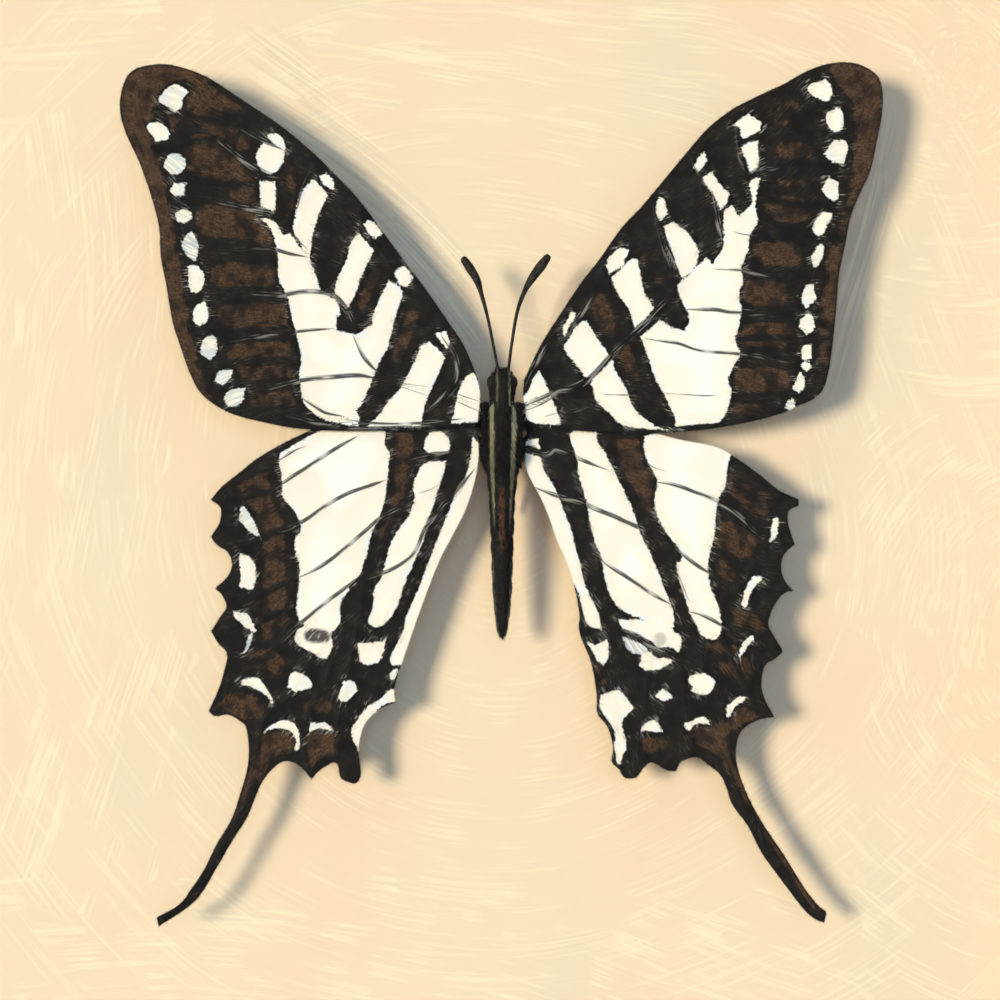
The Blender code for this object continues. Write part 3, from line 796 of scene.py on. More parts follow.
# %% Outlines
OUTLINES = {
    "forewing_left": [
        [-2.05, 11.2, -3.4, 14.3, -4.8, 16.4, -6.8, 19.3, -9, 22.2, -13, 27.6, -15, 29.7, -17, 31.7,
            -20, 34.2, -24, 36.9, -27, 38.8, -30, 39.8, -32, 39.8, -33.7, 39.2, -34.5, 37.8, -34.75, 35.8,
            -34.3, 33.8, -33, 30.9, -32, 28.1, -31.2, 25, -31, 22, -30.5, 19.5, -30, 16.5, -29.3, 14.2,
            -28.2, 11.2, -27.2, 9.6, -25, 8.1, -22, 7.2, -18, 6.5, -12, 6.35, -6, 6.6, -2.1, 6.9],
        [-2.1, 6.9, -1.95, 8.2, -1.85, 9.6, -2.05, 11.2]],
    "forewing_right": [
        [2.2, 11, 3.8, 14.3, 5.9, 17.6, 7.5, 20, 9, 21.9, 11.2, 25, 13, 26.9, 15, 29.3, 17, 31.7, 19, 34,
            21, 35.6, 23, 36.7, 26, 38.1, 28, 39.2, 30, 39.9, 32.2, 40, 33.8, 39.4, 34.7, 38.5, 35, 37,
            34.9, 35, 34.5, 33, 33.9, 30.2, 32.9, 28, 32.1, 26, 31.5, 23, 31, 20.5, 30.8, 18, 30.4, 14,
            30, 11.5, 29.6, 10.2, 28.7, 9.25, 27.2, 8.6, 25.7, 7.9, 21, 6.8, 15, 6.15, 8, 6.3, 2.45, 6.9],
        [2.45, 6.9, 2.35, 8.2, 2.15, 9.6, 2.2, 11]],
    "hindwing_left": [
        [-2.1, 6.6, -6, 8.2, -11, 8.2, -15, 7.3, -18.4, 5.95, -22, 4, -24, 2.45, -25.6, 1.15, -26.55, 0],
        [-26.55, 0, -25.85, -0.45, -25.6, -0.9, -25.75, -2.1, -26.55, -3.4],
        [-26.55, -3.4, -25.9, -4.2, -25, -4.8, -24.6, -5.9, -25, -7, -26.15, -8.1],
        [-26.15, -8.1, -25.6, -8.6, -25.1, -9.8, -25.6, -10.6, -26.5, -12.05],
        [-26.5, -12.05, -25.9, -13.1, -25.05, -14.1, -25.3, -15.6, -25.8, -17.3, -26.75, -19.4],
        [-26.75, -19.4, -26.1, -19.85, -25, -19.7, -24, -20.2, -23.3, -20.9, -23.1, -24, -24, -27.5,
            -24.7, -29.4, -26, -31.6, -27.2, -34, -28.4, -35.8, -29.4, -37.1, -31.5, -38.3],
        [-31.5, -38.3, -31.3, -39.1],
        [-31.3, -39.1, -29.1, -37.7, -27.9, -36.7, -27, -35.5, -26.2, -34.1, -24.4, -31, -23.2, -29.1,
            -22, -26.2, -21.1, -24.9, -20.1, -24.1, -19.3, -24, -18.3, -24.5, -17.3, -25.65],
        [-17.3, -25.65, -16.8, -25.05, -16, -24.45, -15.05, -24.15, -14.65, -25.5, -14, -25.9, -13.2, -26,
            -12.8, -25.2, -13, -22.9, -12.5, -20.7, -11.3, -19.4, -9.6, -18.6],
        [-9.6, -18.6, -9.75, -17.5, -9, -14.9, -7.3, -10, -5.6, -5.6, -4.4, -3.3, -3.2, -0.9, -2.3, 1.9,
            -1.95, 4.2],
        [-1.95, 4.2, -2.1, 6.6]],
    "hindwing_right": [
        [2.5, 6.6, 6, 7.8, 10, 7.5, 13.5, 6.4, 16, 5.65, 20, 4.8, 21.3, 4.1, 24, 2.2, 25.5, 0.95,
            27.4, 0.05],
        [27.4, 0.05, 27.4, -0.5], [27.4, -0.5, 26.6, -0.9, 26.4, -1.4, 26.5, -2.4, 27.05, -4.1],
        [27.05, -4.1, 26.4, -4.6, 25.9, -5.4, 25.85, -6.6, 26.2, -7.5, 26.85, -8.3],
        [26.85, -8.3, 26.1, -8.55, 25.4, -9.3, 24.85, -10.4, 24.65, -11.5, 25.1, -12.4, 26, -13.9],
        [26, -13.9, 25.2, -14.6, 24.4, -15.1, 24, -16.6, 24.2, -18, 25.15, -19.9],
        [25.15, -19.9, 24, -20.1, 22.9, -20.6, 22.1, -21.3, 21.7, -22.5, 21.7, -24, 22.5, -26.6,
            24, -29.5, 26, -32.5, 28, -35.7, 29.1, -37.1, 29.95, -37.8],
        [29.95, -37.8, 29.75, -38.75],
        [29.75, -38.75, 29, -38.5, 28, -37.7, 26, -35.1, 24.1, -32.5, 22.8, -30, 21.3, -27.9, 20.8, -26.4,
            20.2, -25.2, 19.3, -24.45, 18.2, -23.65, 17.4, -23.7, 16.6, -24.05, 16.15, -24.9],
        [16.15, -24.9, 15.4, -24.85, 14.6, -24.4, 13.9, -24.1, 13.2, -24.6, 12.6, -25.4, 12, -25.6,
            11.3, -25.4, 11, -24.8, 10.3, -24.1, 10.4, -22.8, 9.9, -20.9, 8.95, -19.6, 8.9, -18, 8.4, -15,
            7.3, -12.1, 7.3, -10.4, 6.6, -7.1, 5.3, -3.8, 4.1, -0.5, 3, 1.6, 2.4, 3, 2.35, 4.2],
        [2.35, 4.2, 2.5, 6.6]],
}

# %% [markdown]
# Pale marks
#
# Each mark has a share of bluish grey scales, from 0 for pure cream to 1, and its closed outline.

# %% Marks of the forewings
MARKS = {"forewing_left": [
    (0.5, [-31.3, 36.6, -30.6, 37.6, -29.7, 38.1, -28.9, 37.7, -28.5, 37.3, -29.05, 36.7, -29.1, 36.1,
        -29.7, 35.4, -30.4, 36, -31.1, 36.3]),
    (0.1, [-32.3, 34.4, -31.4, 34.6, -30.7, 34.3, -30.3, 33.6, -30.4, 32.95, -31.4, 32.8, -31.8, 33.3,
        -32.2, 33.85]),
    (0.7, [-30.7, 30.8, -30.2, 31.7, -29.5, 31.7, -28.8, 31.1, -28.8, 30.5, -29.4, 29.8, -30.2, 29.9,
        -30.7, 30.4]),
    (0.5, [-30.2, 28.4, -29.8, 29, -28.6, 29, -28.9, 28.5, -28.8, 27.9, -29.6, 27.8, -30.05, 28]),
    (0.5, [-29.7, 26.15, -29.05, 26.7, -28.3, 26.4, -28.2, 25.7, -29.05, 25.3, -29.6, 25.6]),
    (1, [-29.1, 23.1, -28.8, 24.15, -28.3, 24.6, -27.8, 23.9, -27.6, 22.8, -27.9, 21.8, -28.5, 22.25,
        -28.9, 22.8]),
    (0.15, [-28.5, 19.7, -28.5, 21.5, -27.7, 21.5, -27.1, 20.6, -27.2, 19.5, -27.7, 18.95, -28.3, 19.1]),
    (0.15, [-28.1, 17.1, -27.7, 17.9, -27, 18.1, -26.7, 17.2, -26.8, 16.3, -27.5, 15.95, -27.95, 16.3]),
    (0.7, [-27.4, 13.9, -27.05, 14.8, -26.4, 15.1, -25.9, 14.8, -26, 13.55, -26.5, 12.8, -27.3, 13.3]),
    (0.7, [-26.15, 10.9, -25.6, 11.8, -24.5, 12, -24.6, 11.3, -25.4, 10.5]),
    (0.7, [-25.3, 9.3, -24.8, 10, -23.3, 10.3, -23.5, 9.3, -24.15, 8.5, -24.9, 8.65]),
    (0.2, [-21.4, 33.4, -20.6, 33.6, -19.9, 33.1, -19.55, 32.1, -20.2, 32.3, -21, 32.9]),
    (0.2, [-22.3, 31.6, -21.7, 32.7, -20.9, 32.4, -19.7, 32, -19.9, 31, -20.3, 30.3, -20.9, 29.8,
        -21.8, 30.2]),
    (0.2, [-22, 29.2, -20.6, 29.2, -20.55, 27.4, -20.6, 26.4, -21.3, 26.6, -21.9, 27]),
    (0.2, [-22, 25.8, -21.1, 25, -20.7, 24, -20.3, 22, -20.35, 21, -20.2, 20, -19.8, 19.3, -19.4, 18.4,
        -19, 16.5, -18.6, 15, -18.2, 13.2, -18.35, 11.4, -18.1, 9.4, -17.6, 8.4, -16.5, 7.6, -15.5, 7.2,
        -14, 6.9, -13, 6.75, -12.9, 7.5, -13.2, 8.2, -12.6, 9, -12, 10.3, -11.4, 11.8, -11, 12.8,
        -10.3, 14, -9.9, 15.5, -10.6, 16.3, -11.7, 16.1, -12.5, 15.6, -13, 15.2, -15, 15.5, -15, 16.9,
        -14.6, 17, -15, 18.2, -16.4, 19.15, -16.7, 20, -17, 21, -17.4, 21.9, -17.4, 22.6, -18.2, 23,
        -19.2, 24.4, -19.9, 24.3, -20.8, 25.6]),
    (0.2, [-16.6, 29.7, -15.9, 29.9, -15.3, 29.3, -15.2, 28.5, -15.5, 28.5, -16.3, 29.1]),
    (0.2, [-17.1, 29.4, -15.75, 28, -16, 27.5, -16.6, 26.2, -17.1, 24.5, -17.4, 22.6, -17.4, 22,
        -18.2, 22.4, -18.1, 23.2, -18.9, 24.6, -18.8, 25.6, -18.6, 27, -18, 28.4]),
    (0.2, [-12.5, 25.2, -12.1, 25.7, -11.5, 25.4, -10.8, 24.4, -11.4, 23.9, -12, 24.4]),
    (0.2, [-13, 24.5, -11.6, 22.9, -11.9, 22.2, -12.8, 20.3, -13.2, 19, -14, 17.5, -15.2, 18.7,
        -14.9, 20.2, -14, 22.2, -13.7, 23.5]),
    (0.2, [-9.7, 20.9, -8.9, 21.5, -8.5, 21.2, -8, 20.4, -8.4, 19.6, -9.2, 19.7]),
    (0.2, [-10.2, 20.1, -9.6, 19.8, -8.9, 19.1, -9.2, 18, -9.7, 16.5, -9.9, 15.5, -10.3, 14.2,
        -11.5, 14.5, -11.7, 16.1, -11.6, 17, -11, 18.5, -10.6, 19.3]),
    (0.2, [-6, 15.3, -5, 15.45, -4.6, 14.4, -4.9, 13.8]),
    (0.2, [-6.9, 14.3, -6.5, 14.6, -5.9, 14, -5, 13.1, -5.5, 12, -6.2, 10.4, -6.8, 9, -7.3, 6.7,
        -12.2, 6.7, -11, 7.9, -10.1, 9.2, -9.2, 10.1, -8.7, 11, -7.9, 12.5, -7.2, 14.2]),
    (0.2, [-2.2, 11.4, -2.5, 11.7, -3.2, 11.2, -3.7, 10.2, -4, 9.2, -4.2, 8, -4.5, 7, -2, 7.2,
        -1.8, 9.5]),
], "forewing_right": [
    (0.2, [28.1, 37.6, 28.4, 38.1, 29.2, 38.3, 29.8, 38.5, 30.2, 38.1, 30.4, 37.4, 30.3, 36.9, 30, 36.4,
        29.5, 36.6, 28.8, 36.9, 28.4, 37.2]),
    (0.2, [29.8, 35.1, 30.1, 35.5, 30.6, 35.75, 30.9, 35.95, 31.3, 35.6, 31.4, 35, 31.4, 34.3, 31.1, 33.8,
        30.6, 33.7, 30.1, 34.1, 29.9, 34.6]),
    (0.4, [29.7, 31.7, 30.1, 32.3, 30.4, 32.9, 31, 32.9, 31.4, 32.95, 31.75, 32.6, 31.8, 32, 31.6, 31.3,
        31.4, 30.8, 30.8, 30.8, 30.3, 31]),
    (0.4, [29.4, 28.5, 29.8, 29, 30, 29.5, 30.4, 29.4, 30.9, 29.1, 30.95, 28.3, 30.9, 27.6, 30.5, 27.3,
        30.1, 27.6, 29.7, 28]),
    (0.2, [28.6, 25, 28.9, 25.6, 29.3, 26.1, 29.6, 26.4, 30.4, 26.2, 30.3, 25.7, 29.9, 25, 29.6, 24.4,
        29.2, 24.1, 28.7, 24.5]),
    (0.5, [28.5, 22, 28.7, 22.6, 29.1, 23.2, 29.3, 23.5, 29.6, 23.4, 29.6, 22.5, 29.3, 21.8, 29, 21.3,
        28.7, 21.4]),
    (0.4, [27.6, 18.2, 27.7, 19, 28, 19.5, 28.3, 19.75, 28.7, 19.7, 28.8, 19, 29, 18.4, 28.6, 18.1,
        28.3, 17.8, 28, 17.5, 27.8, 17.9]),
    (0.4, [27.4, 15.8, 27.5, 16.6, 28, 16.9, 28.4, 17.1, 28.6, 16.8, 28.75, 16.2, 28.7, 15.6, 28.3, 15.2,
        28, 15.1, 27.7, 15.6]),
    (0.2, [27.6, 13.2, 27.7, 14, 28.1, 14.3, 28.5, 14.2, 28.5, 12.9, 28, 12.8, 27.7, 12.9]),
    (0.2, [27.5, 12.3, 27.9, 12.7, 28.3, 12.6, 28.5, 12.1, 28.1, 11.8, 27.8, 12]),
    (0.4, [26.7, 10.3, 27.1, 10.8, 27.3, 11.5, 27.6, 11.7, 27.8, 11.2, 27.9, 10.6, 27.7, 10.1, 27.3, 9.8,
        26.9, 10.1]),
    (0.9, [26.1, 8.6, 26.3, 9, 26.7, 9.3, 26.9, 9.2, 27, 8.5, 26.7, 8.2, 26.3, 8.2]),
    (0.3, [18, 31.1, 18.3, 31.5, 18.7, 31.9, 19, 31, 18.2, 30.1, 17.7, 30.4]),
    (0.2, [18.5, 29.5, 19.4, 30.1, 20, 29.1, 20.6, 28.4, 21, 28.2, 20.8, 27.3, 20.2, 26.6, 19.7, 27.6,
        19.2, 28.4, 18.7, 29]),
    (0.2, [21.3, 34.3, 21.9, 34.8, 22.5, 35.2, 22.7, 35.4, 23.4, 34.9, 23.9, 34.6, 23.9, 34.1, 23.7, 33.7,
        23, 33.4, 22.2, 33.1, 22, 33.5, 22, 34.2, 21.6, 34.2]),
    (0.2, [22.1, 32.3, 22.5, 32.6, 23.1, 32.8, 23.6, 32.9, 23.6, 32, 23.7, 31, 23.6, 30.4, 23, 29.9,
        22.8, 30.3, 22.6, 31, 22.3, 31.6]),
    (0.2, [22.8, 29, 23.2, 29.4, 23.8, 29.5, 23.7, 28.9, 23.5, 28.2, 23.4, 26.8, 23.6, 25.4, 23.3, 25,
        22.8, 24, 22.8, 23.3, 22.6, 22.6, 22.1, 21.2, 22.25, 19.9, 22, 19.3, 21.85, 18.3, 22.1, 17.7,
        22, 16.6, 21.8, 15.5, 21.5, 14.7, 22, 13.5, 21.7, 12.8, 21, 11.4, 20.9, 10.7, 21.2, 10.1, 21, 9,
        20.8, 8.2, 20.4, 7.5, 20, 7.1, 18, 6.95, 16, 6.7, 16.1, 7.4, 15.5, 8.7, 14.8, 10.2, 14.3, 11,
        13.6, 13, 12.9, 15, 13.4, 15.4, 14, 15.9, 14.6, 16.5, 14.9, 16.4, 15.5, 15.9, 16.1, 15.7,
        16.9, 15.5, 17.3, 16.2, 17.3, 16.9, 16.6, 18.4, 16.2, 19.6, 16.6, 20.1, 17, 20.3, 18, 21.4,
        18.4, 21.7, 18.9, 22.2, 19.5, 21.6, 19.9, 22.3, 20.4, 23, 20.5, 24.5, 20.5, 26.3, 20.9, 26.8,
        21.2, 27, 21.4, 26.8, 21.8, 26, 22.3, 26.3, 22.6, 26.6, 23.1, 27.3, 22.9, 28.6]),
    (0.2, [14.6, 27.8, 15, 27.6, 15.2, 26.8, 15.4, 26.2, 15, 25.9, 14.7, 25.6, 14.4, 26, 14.3, 26.7,
        14.4, 27.3]),
    (0.2, [15, 25.1, 15.9, 25.5, 16.4, 25.1, 17.1, 24.6, 17.6, 23.9, 18.1, 23.1, 18.2, 22.4, 17.9, 21.5,
        17.6, 21, 17, 20.5, 16.6, 20.4, 16.2, 21.5, 15.9, 22.5, 15.5, 23.5, 15.2, 24.2]),
    (0.2, [9.9, 22.1, 10.4, 22.6, 10.9, 23.1, 11.3, 23.1, 11.8, 22.9, 11.7, 22.5, 11.3, 22.1, 11.5, 21.6,
        11, 21.3, 10.4, 21, 10, 20.7, 9.8, 21.3]),
    (0.2, [10.2, 20.4, 10.8, 20.9, 11.3, 21.4, 11.9, 22, 12.4, 22.2, 12.6, 21.9, 12.9, 20.5, 13.2, 19.1,
        13.5, 18.5, 14.1, 17.6, 13.7, 17.1, 13.3, 16.6, 12.8, 16.2, 12.4, 15.8, 12.2, 16.2, 12, 17,
        11.6, 17.8, 10.7, 19.1, 10.4, 19.8]),
    (0.2, [6.5, 17.3, 6.9, 17.1, 6.8, 16.6, 6.5, 16.2, 6.2, 15.7, 6, 15, 5.8, 15.2, 5.8, 15.9,
        6.2, 16.5]),
    (0.2, [5.9, 14.2, 6.3, 14.8, 6.8, 15.6, 7.2, 16.1, 7.6, 16.4, 7.9, 16.4, 8.3, 15.8, 8.7, 15.1,
        9.2, 14.4, 10, 13.2, 9.7, 12.8, 9.2, 12.1, 8.6, 11.6, 8.1, 11.3, 7.8, 11.3, 7.2, 12.1, 6.7, 12.7,
        5.9, 13.9]),
    (0.2, [8.3, 10.7, 8.7, 11.3, 9.3, 11.8, 9.9, 12.5, 10.2, 12.9, 10.4, 12.6, 10.4, 12.1, 11.1, 11,
        11.7, 9.8, 12.1, 8.7, 12.5, 8.1, 13.1, 7.6, 13.8, 7.1, 14.4, 6.7, 15.6, 6.4, 12.5, 6.6, 11.9, 6.7,
        11.2, 6.9, 10.6, 7.3, 10.2, 7.8, 9.6, 8.3, 9.1, 8.8, 8.7, 9.3, 8.6, 10]),
    (0.2, [3.4, 11.6, 3.6, 11.9, 3.8, 11.5, 4.4, 10.2, 4.9, 8.9, 5.5, 7.4, 5.6, 6.9, 4.8, 6.9, 3, 7.1,
        2.4, 7.5, 2.1, 8.2, 2.1, 9.4, 2.6, 10, 3, 11]),
]}

# %% Marks of the hindwings
MARKS["hindwing_left"] = [
    (0.6, [-23.8, -0.5, -23.4, -0.7, -22.9, -1.5, -22.45, -2.3, -22.2, -3, -21.95, -3.6, -22.3, -3.3,
        -22.8, -3.1, -23.4, -2.5, -23.95, -1.9, -23.85, -1.2]),
    (0.3, [-24, -4.7, -23.7, -5, -23, -5.2, -22.7, -5.6, -22.45, -6.2, -22.45, -7, -22.6, -7.9,
        -22.8, -8.3, -23.3, -8.1, -23.9, -8, -23.8, -7, -23.95, -5.3]),
    (0.5, [-24.5, -10.2, -23.9, -10.3, -23.3, -10.4, -22.9, -10.9, -22.6, -11.5, -22.4, -12.1,
        -22.6, -12.1, -23, -11.9, -23.5, -11.6, -23.9, -11.1, -24.4, -10.8]),
    (1, [-22.7, -12.1, -22.8, -12.9, -23.2, -13.7, -23.6, -14.2, -23.3, -13.3, -23.1, -12.5]),
    (0.2, [-23.8, -16.7, -23.3, -16.4, -22.8, -16.3, -22.2, -16.4, -21.8, -16.8, -21.4, -17.4,
        -20.8, -18.5, -20.9, -18.7, -21.3, -18.1, -21.8, -17.7, -22.4, -17.4, -23, -17.1, -23.8, -16.9]),
    (0.2, [-21.7, -21.4, -21.3, -20.9, -20.7, -20.5, -20, -20.25, -19.3, -20.3, -18.8, -20.7,
        -18.5, -21.3, -18.4, -22, -18.5, -22.9, -18.8, -23.1, -18.9, -22.9, -18.7, -22.3, -18.9, -21.7,
        -19.3, -21.2, -19.9, -21, -20.6, -20.95, -21.2, -21.1]),
    (0.4, [-17.4, -20.4, -16.7, -20.5, -16, -20.5, -15.5, -20.9, -15.2, -21.2, -16, -21.1, -16.6, -21,
        -17.1, -21.1, -17.6, -21.3, -17.5, -20.9]),
    (0.2, [-19.3, -16, -18.9, -15.8, -18.3, -15.9, -17.7, -16.3, -17.3, -16.8, -17.3, -17.2, -17.8, -17.4,
        -18.4, -17.5, -18.8, -17.7, -19.1, -17.4, -19.5, -17.2, -19.4, -16.8]),
    (0.3, [-14.4, -16.7, -13.8, -16.55, -13.3, -16.9, -13.1, -17.5, -13.6, -18, -14.1, -18.5,
        -14.6, -18.5, -14.85, -18.2, -14.7, -17.6, -14.5, -17.2]),
    (0.2, [-13.1, -13.2, -11, -13, -10.5, -12.8, -10.7, -13.8, -11.1, -14.8, -11.8, -15.1, -12.2, -15.2,
        -12.9, -14.8, -12.95, -14]),
    (0.2, [-20.2, 4.3, -20.3, 3.5, -20.1, 2.6, -20, 1.2, -20, 0.4, -19.5, -0.3, -18.8, -1.1, -18.3, -2.3,
        -18.3, -2.8, -18.8, -3.6, -18.8, -5, -18.5, -5.5, -18.4, -7.2, -18.6, -9, -18.7, -10,
        -18.4, -11.1, -18, -11.5, -18.6, -12, -18.8, -12.5, -18.8, -13, -18.4, -13.4, -17.3, -14,
        -16.5, -14.5, -15.9, -14.6, -15.4, -13.5, -15.4, -12.9, -15.6, -12.4, -14.7, -11.2, -14.7, -10,
        -14.6, -9.3, -13.9, -8.3, -14, -7.9, -12.9, -6.9, -12.6, -6, -12.2, -4.8, -11.8, -3, -11.1, -1.6,
        -10.6, 0, -10.4, 1.5, -10.25, 3.3, -10.15, 4.2, -10.6, 5.2, -10.45, 6.1, -12, 7.6, -16, 6.6]),
    (0.2, [-7, 5, -6.8, 5.6, -6.4, 6.2, -5.8, 6.3, -5.3, 6.2, -4.9, 5.9, -4.65, 5.4, -4.6, 4.9, -4.7, 4.4,
        -5.5, 4.3, -6.3, 4.3, -6.9, 4.6]),
    (0.2, [-7, 3.3, -7.6, 2.4, -7.9, 1.8, -7.95, 1, -7.8, 0.4, -8.2, -1, -8.6, -1.8, -9.9, -3.6,
        -10.5, -5.6, -10.9, -7.2, -11.5, -8, -11.7, -10, -12.1, -11.1, -11.9, -11.5, -11.4, -11.7,
        -10.8, -11.5, -10.2, -10.9, -9.5, -9.9, -9.3, -9.2, -8.8, -7.8, -8.3, -6.6, -7.6, -5, -6.9, -3.2,
        -7, -2.6, -6.3, -1, -5.7, 0.9, -5.1, 2.9, -5, 3.6]),
    (0.2, [-2.55, 5.9, -2.65, 4.2, -3, 2.6, -3.3, 1.9, -3.9, 1, -4.35, -0.1, -5.2, -2.3, -6.1, -4.5,
        -6.9, -6.6, -7.4, -8, -8.6, -10.7, -8.9, -12, -9.8, -13.8, -10.1, -14.5, -10.1, -14.9,
        -9.8, -15.2, -8.6, -15.1, -6.9, -10, -5.2, -5.6, -2.8, -0.9, -1.5, 4.2]),
    (0.6, [-10.1, -15.9, -9.8, -15.6, -9.3, -15.5, -9.5, -16, -9.8, -16.6, -10.1, -16.5]),
    (0.3, [-9.75, -17.3, -10.4, -17.6, -10.9, -18.2, -11.6, -18.7, -12.3, -19.1, -12.8, -19.8,
        -13.5, -20.8, -13.7, -21.3, -13.5, -22, -13, -23, -12.5, -22.9, -12.1, -20.7, -11, -19,
        -9.3, -18.4]),
]
MARKS["hindwing_right"] = [
    (0.2, [3.65, 4, 4.1, 2.7, 4.8, 1.5, 5.4, 0.3, 5.9, -1.1, 6.5, -2.6, 6.85, -4.1, 7.4, -6, 7.8, -7.8,
        8.2, -8.7, 8.9, -10.1, 9.3, -11.6, 9.4, -12, 8.2, -11.6, 7.9, -11.2, 7.4, -9.2, 7.1, -8.2,
        6.4, -7.1, 5, -3.8, 3.8, -0.5, 2.7, 1.6, 2, 3, 2, 4.4]),
    (0.3, [2.3, 5.1, 2.5, 5.5, 3.3, 5.6, 3.6, 5.6, 3.5, 5.2, 3.8, 4.6, 3.2, 4.9]),
    (0.3, [7.9, -12.9, 8.7, -13.3, 9.3, -13.1, 9.8, -12.8, 10, -13.6, 10, -14.2, 9.8, -14.8, 9.5, -15.2,
        8.9, -14.7, 8.7, -14.2, 8.2, -13.4]),
    (0.3, [9.2, -17.95, 9.8, -17.8, 10.2, -17.6, 10.8, -17.5, 11.2, -17.7, 11.9, -18.6, 12.35, -19.1,
        12, -19.4, 11.3, -20.2, 11.2, -20.7, 11.5, -22, 11.6, -22.8, 11.2, -23.7, 11.1, -24.3,
        10.8, -24.3, 10.5, -22.7, 10.6, -22, 10.5, -21.2, 9.8, -20, 9.2, -19]),
    (0.2, [6.4, 6, 6.7, 4.8, 7.1, 3.7, 7.2, 2.5, 7.6, 1.1, 8, -0.3, 8.3, -2.2, 8.8, -4, 9.3, -5.2,
        9.6, -7, 10, -8.4, 10.6, -9.5, 11.7, -10.4, 13.3, -11, 10.9, -11, 11.2, -11.7, 11.9, -12.1,
        13.1, -12.6, 14, -13, 14.4, -13.6, 15.6, -13.5, 16.4, -14, 16.6, -13.6, 16.6, -12.6, 15.9, -12,
        16, -10.9, 15.7, -9.6, 15, -7.9, 14.6, -6.8, 13.7, -4.7, 12.8, -2.9, 12.3, -1.2, 11.6, 0.4,
        10.9, 1.8, 10.2, 3.3, 9.5, 4.6, 9, 5.2, 8.9, 6.6, 7.5, 7.2]),
    (1, [11.3, -12.6, 12, -12.8, 12.7, -13.1, 13.5, -13.6, 13.5, -14, 13.1, -14.5, 12.9, -14.2,
        12.3, -14.1, 11.8, -13.8, 11.5, -13.2]),
    (0.3, [12.8, -15.1, 13, -14.7, 12.9, -14.3, 13.1, -14, 13.6, -13.9, 14.4, -14.5, 15.3, -14.5,
        15.9, -14.8, 15.3, -15.2, 14.7, -15.5, 14, -15.65, 13.3, -15.6]),
    (0.2, [13.3, 5.9, 13.2, 5, 13.5, 3.7, 14.4, 2, 14.5, 1.5, 14.3, 0.6, 14.2, -0.4, 14.5, -1.6, 15.3, -3,
        16.7, -4.9, 16.6, -5.7, 16.2, -5.7, 16.4, -7.1, 17.2, -9.5, 17.6, -10.7, 18.1, -11.5, 18.3, -12.1,
        19, -12.7, 19.5, -12.85, 20, -12.6, 20.25, -12.2, 20.3, -11.3, 20, -9.6, 19.4, -8.2, 19.2, -7.4,
        19.15, -5.4, 19.7, -3.3, 19.8, -1.5, 20.1, 0.2, 20.7, 1.3, 20.9, 3.1, 21.4, 4.6, 17, 6.6]),
    (0.2, [17.25, -16.6, 17.5, -16.2, 17.9, -16, 18.5, -15.9, 18.9, -15.95, 19.7, -16.5, 19.7, -16.9,
        19.4, -17.5, 19, -17.85, 18.5, -17.9, 17.5, -17.5, 17.7, -17.2]),
    (0.3, [14.3, -18, 14.5, -17.7, 15, -17.3, 15.3, -17.6, 15.7, -17.9, 15.8, -18.2, 15.3, -18.4,
        15, -18.5, 14.6, -18.3]),
    (0.5, [25.1, -1.7, 25.5, -1.6, 25.6, -2, 25.5, -2.6, 25.4, -3.2, 25.1, -3.7, 24.8, -3.9, 24.7, -3.7,
        24.9, -3.3, 24.85, -2.8, 25, -2.2]),
    (0.3, [22.2, -9.7, 22.3, -9.1, 22.6, -8, 23.2, -7, 23.6, -7, 24.1, -7.1, 24.1, -7.4, 23.6, -7.7,
        22.9, -8.8, 22.65, -9.8, 22.4, -9.95]),
    (0.3, [21.95, -14.4, 22.1, -13.5, 22.4, -13, 23.1, -12.4, 23.3, -12.5, 23.3, -12.9, 22.8, -13.3,
        22.2, -14.2]),
    (0.2, [20.7, -19.9, 20.9, -19.5, 20.7, -19.2, 21, -18.8, 22, -18.1, 22.5, -18.1, 22.6, -18.3,
        21.7, -18.9, 21.4, -19.3, 21.2, -19.8, 20.95, -20]),
    (0.2, [16.9, -20.5, 17.4, -20.4, 18.3, -19.95, 18.8, -19.95, 19.2, -20.3, 19.35, -20.7, 18.4, -20.5,
        17.9, -20.6, 17.3, -21.3, 17.05, -21]),
    (0.3, [12.9, -21.3, 13.1, -21, 13, -20.8, 13.7, -20.3, 14.1, -20.25, 14.5, -20.5, 15, -21.3,
        14.2, -21.3, 13.2, -21.2]),
]

# %% [markdown]
# Veins, and where the wings are brown
#
# A vein shows as a bundle of fine strokes: dark where it crosses a pale mark, and light grey on the black.
# Each has half its width and its points. The ribs go on to the edge of the wing, as ridges without colour.
#
# Brown scales lie on a broad rim outside the spots and in patches between the ribs. A patch is a capsule:
# two ends, a radius and a strength. A few grey marks and ashen stretches of the fringe come after them.

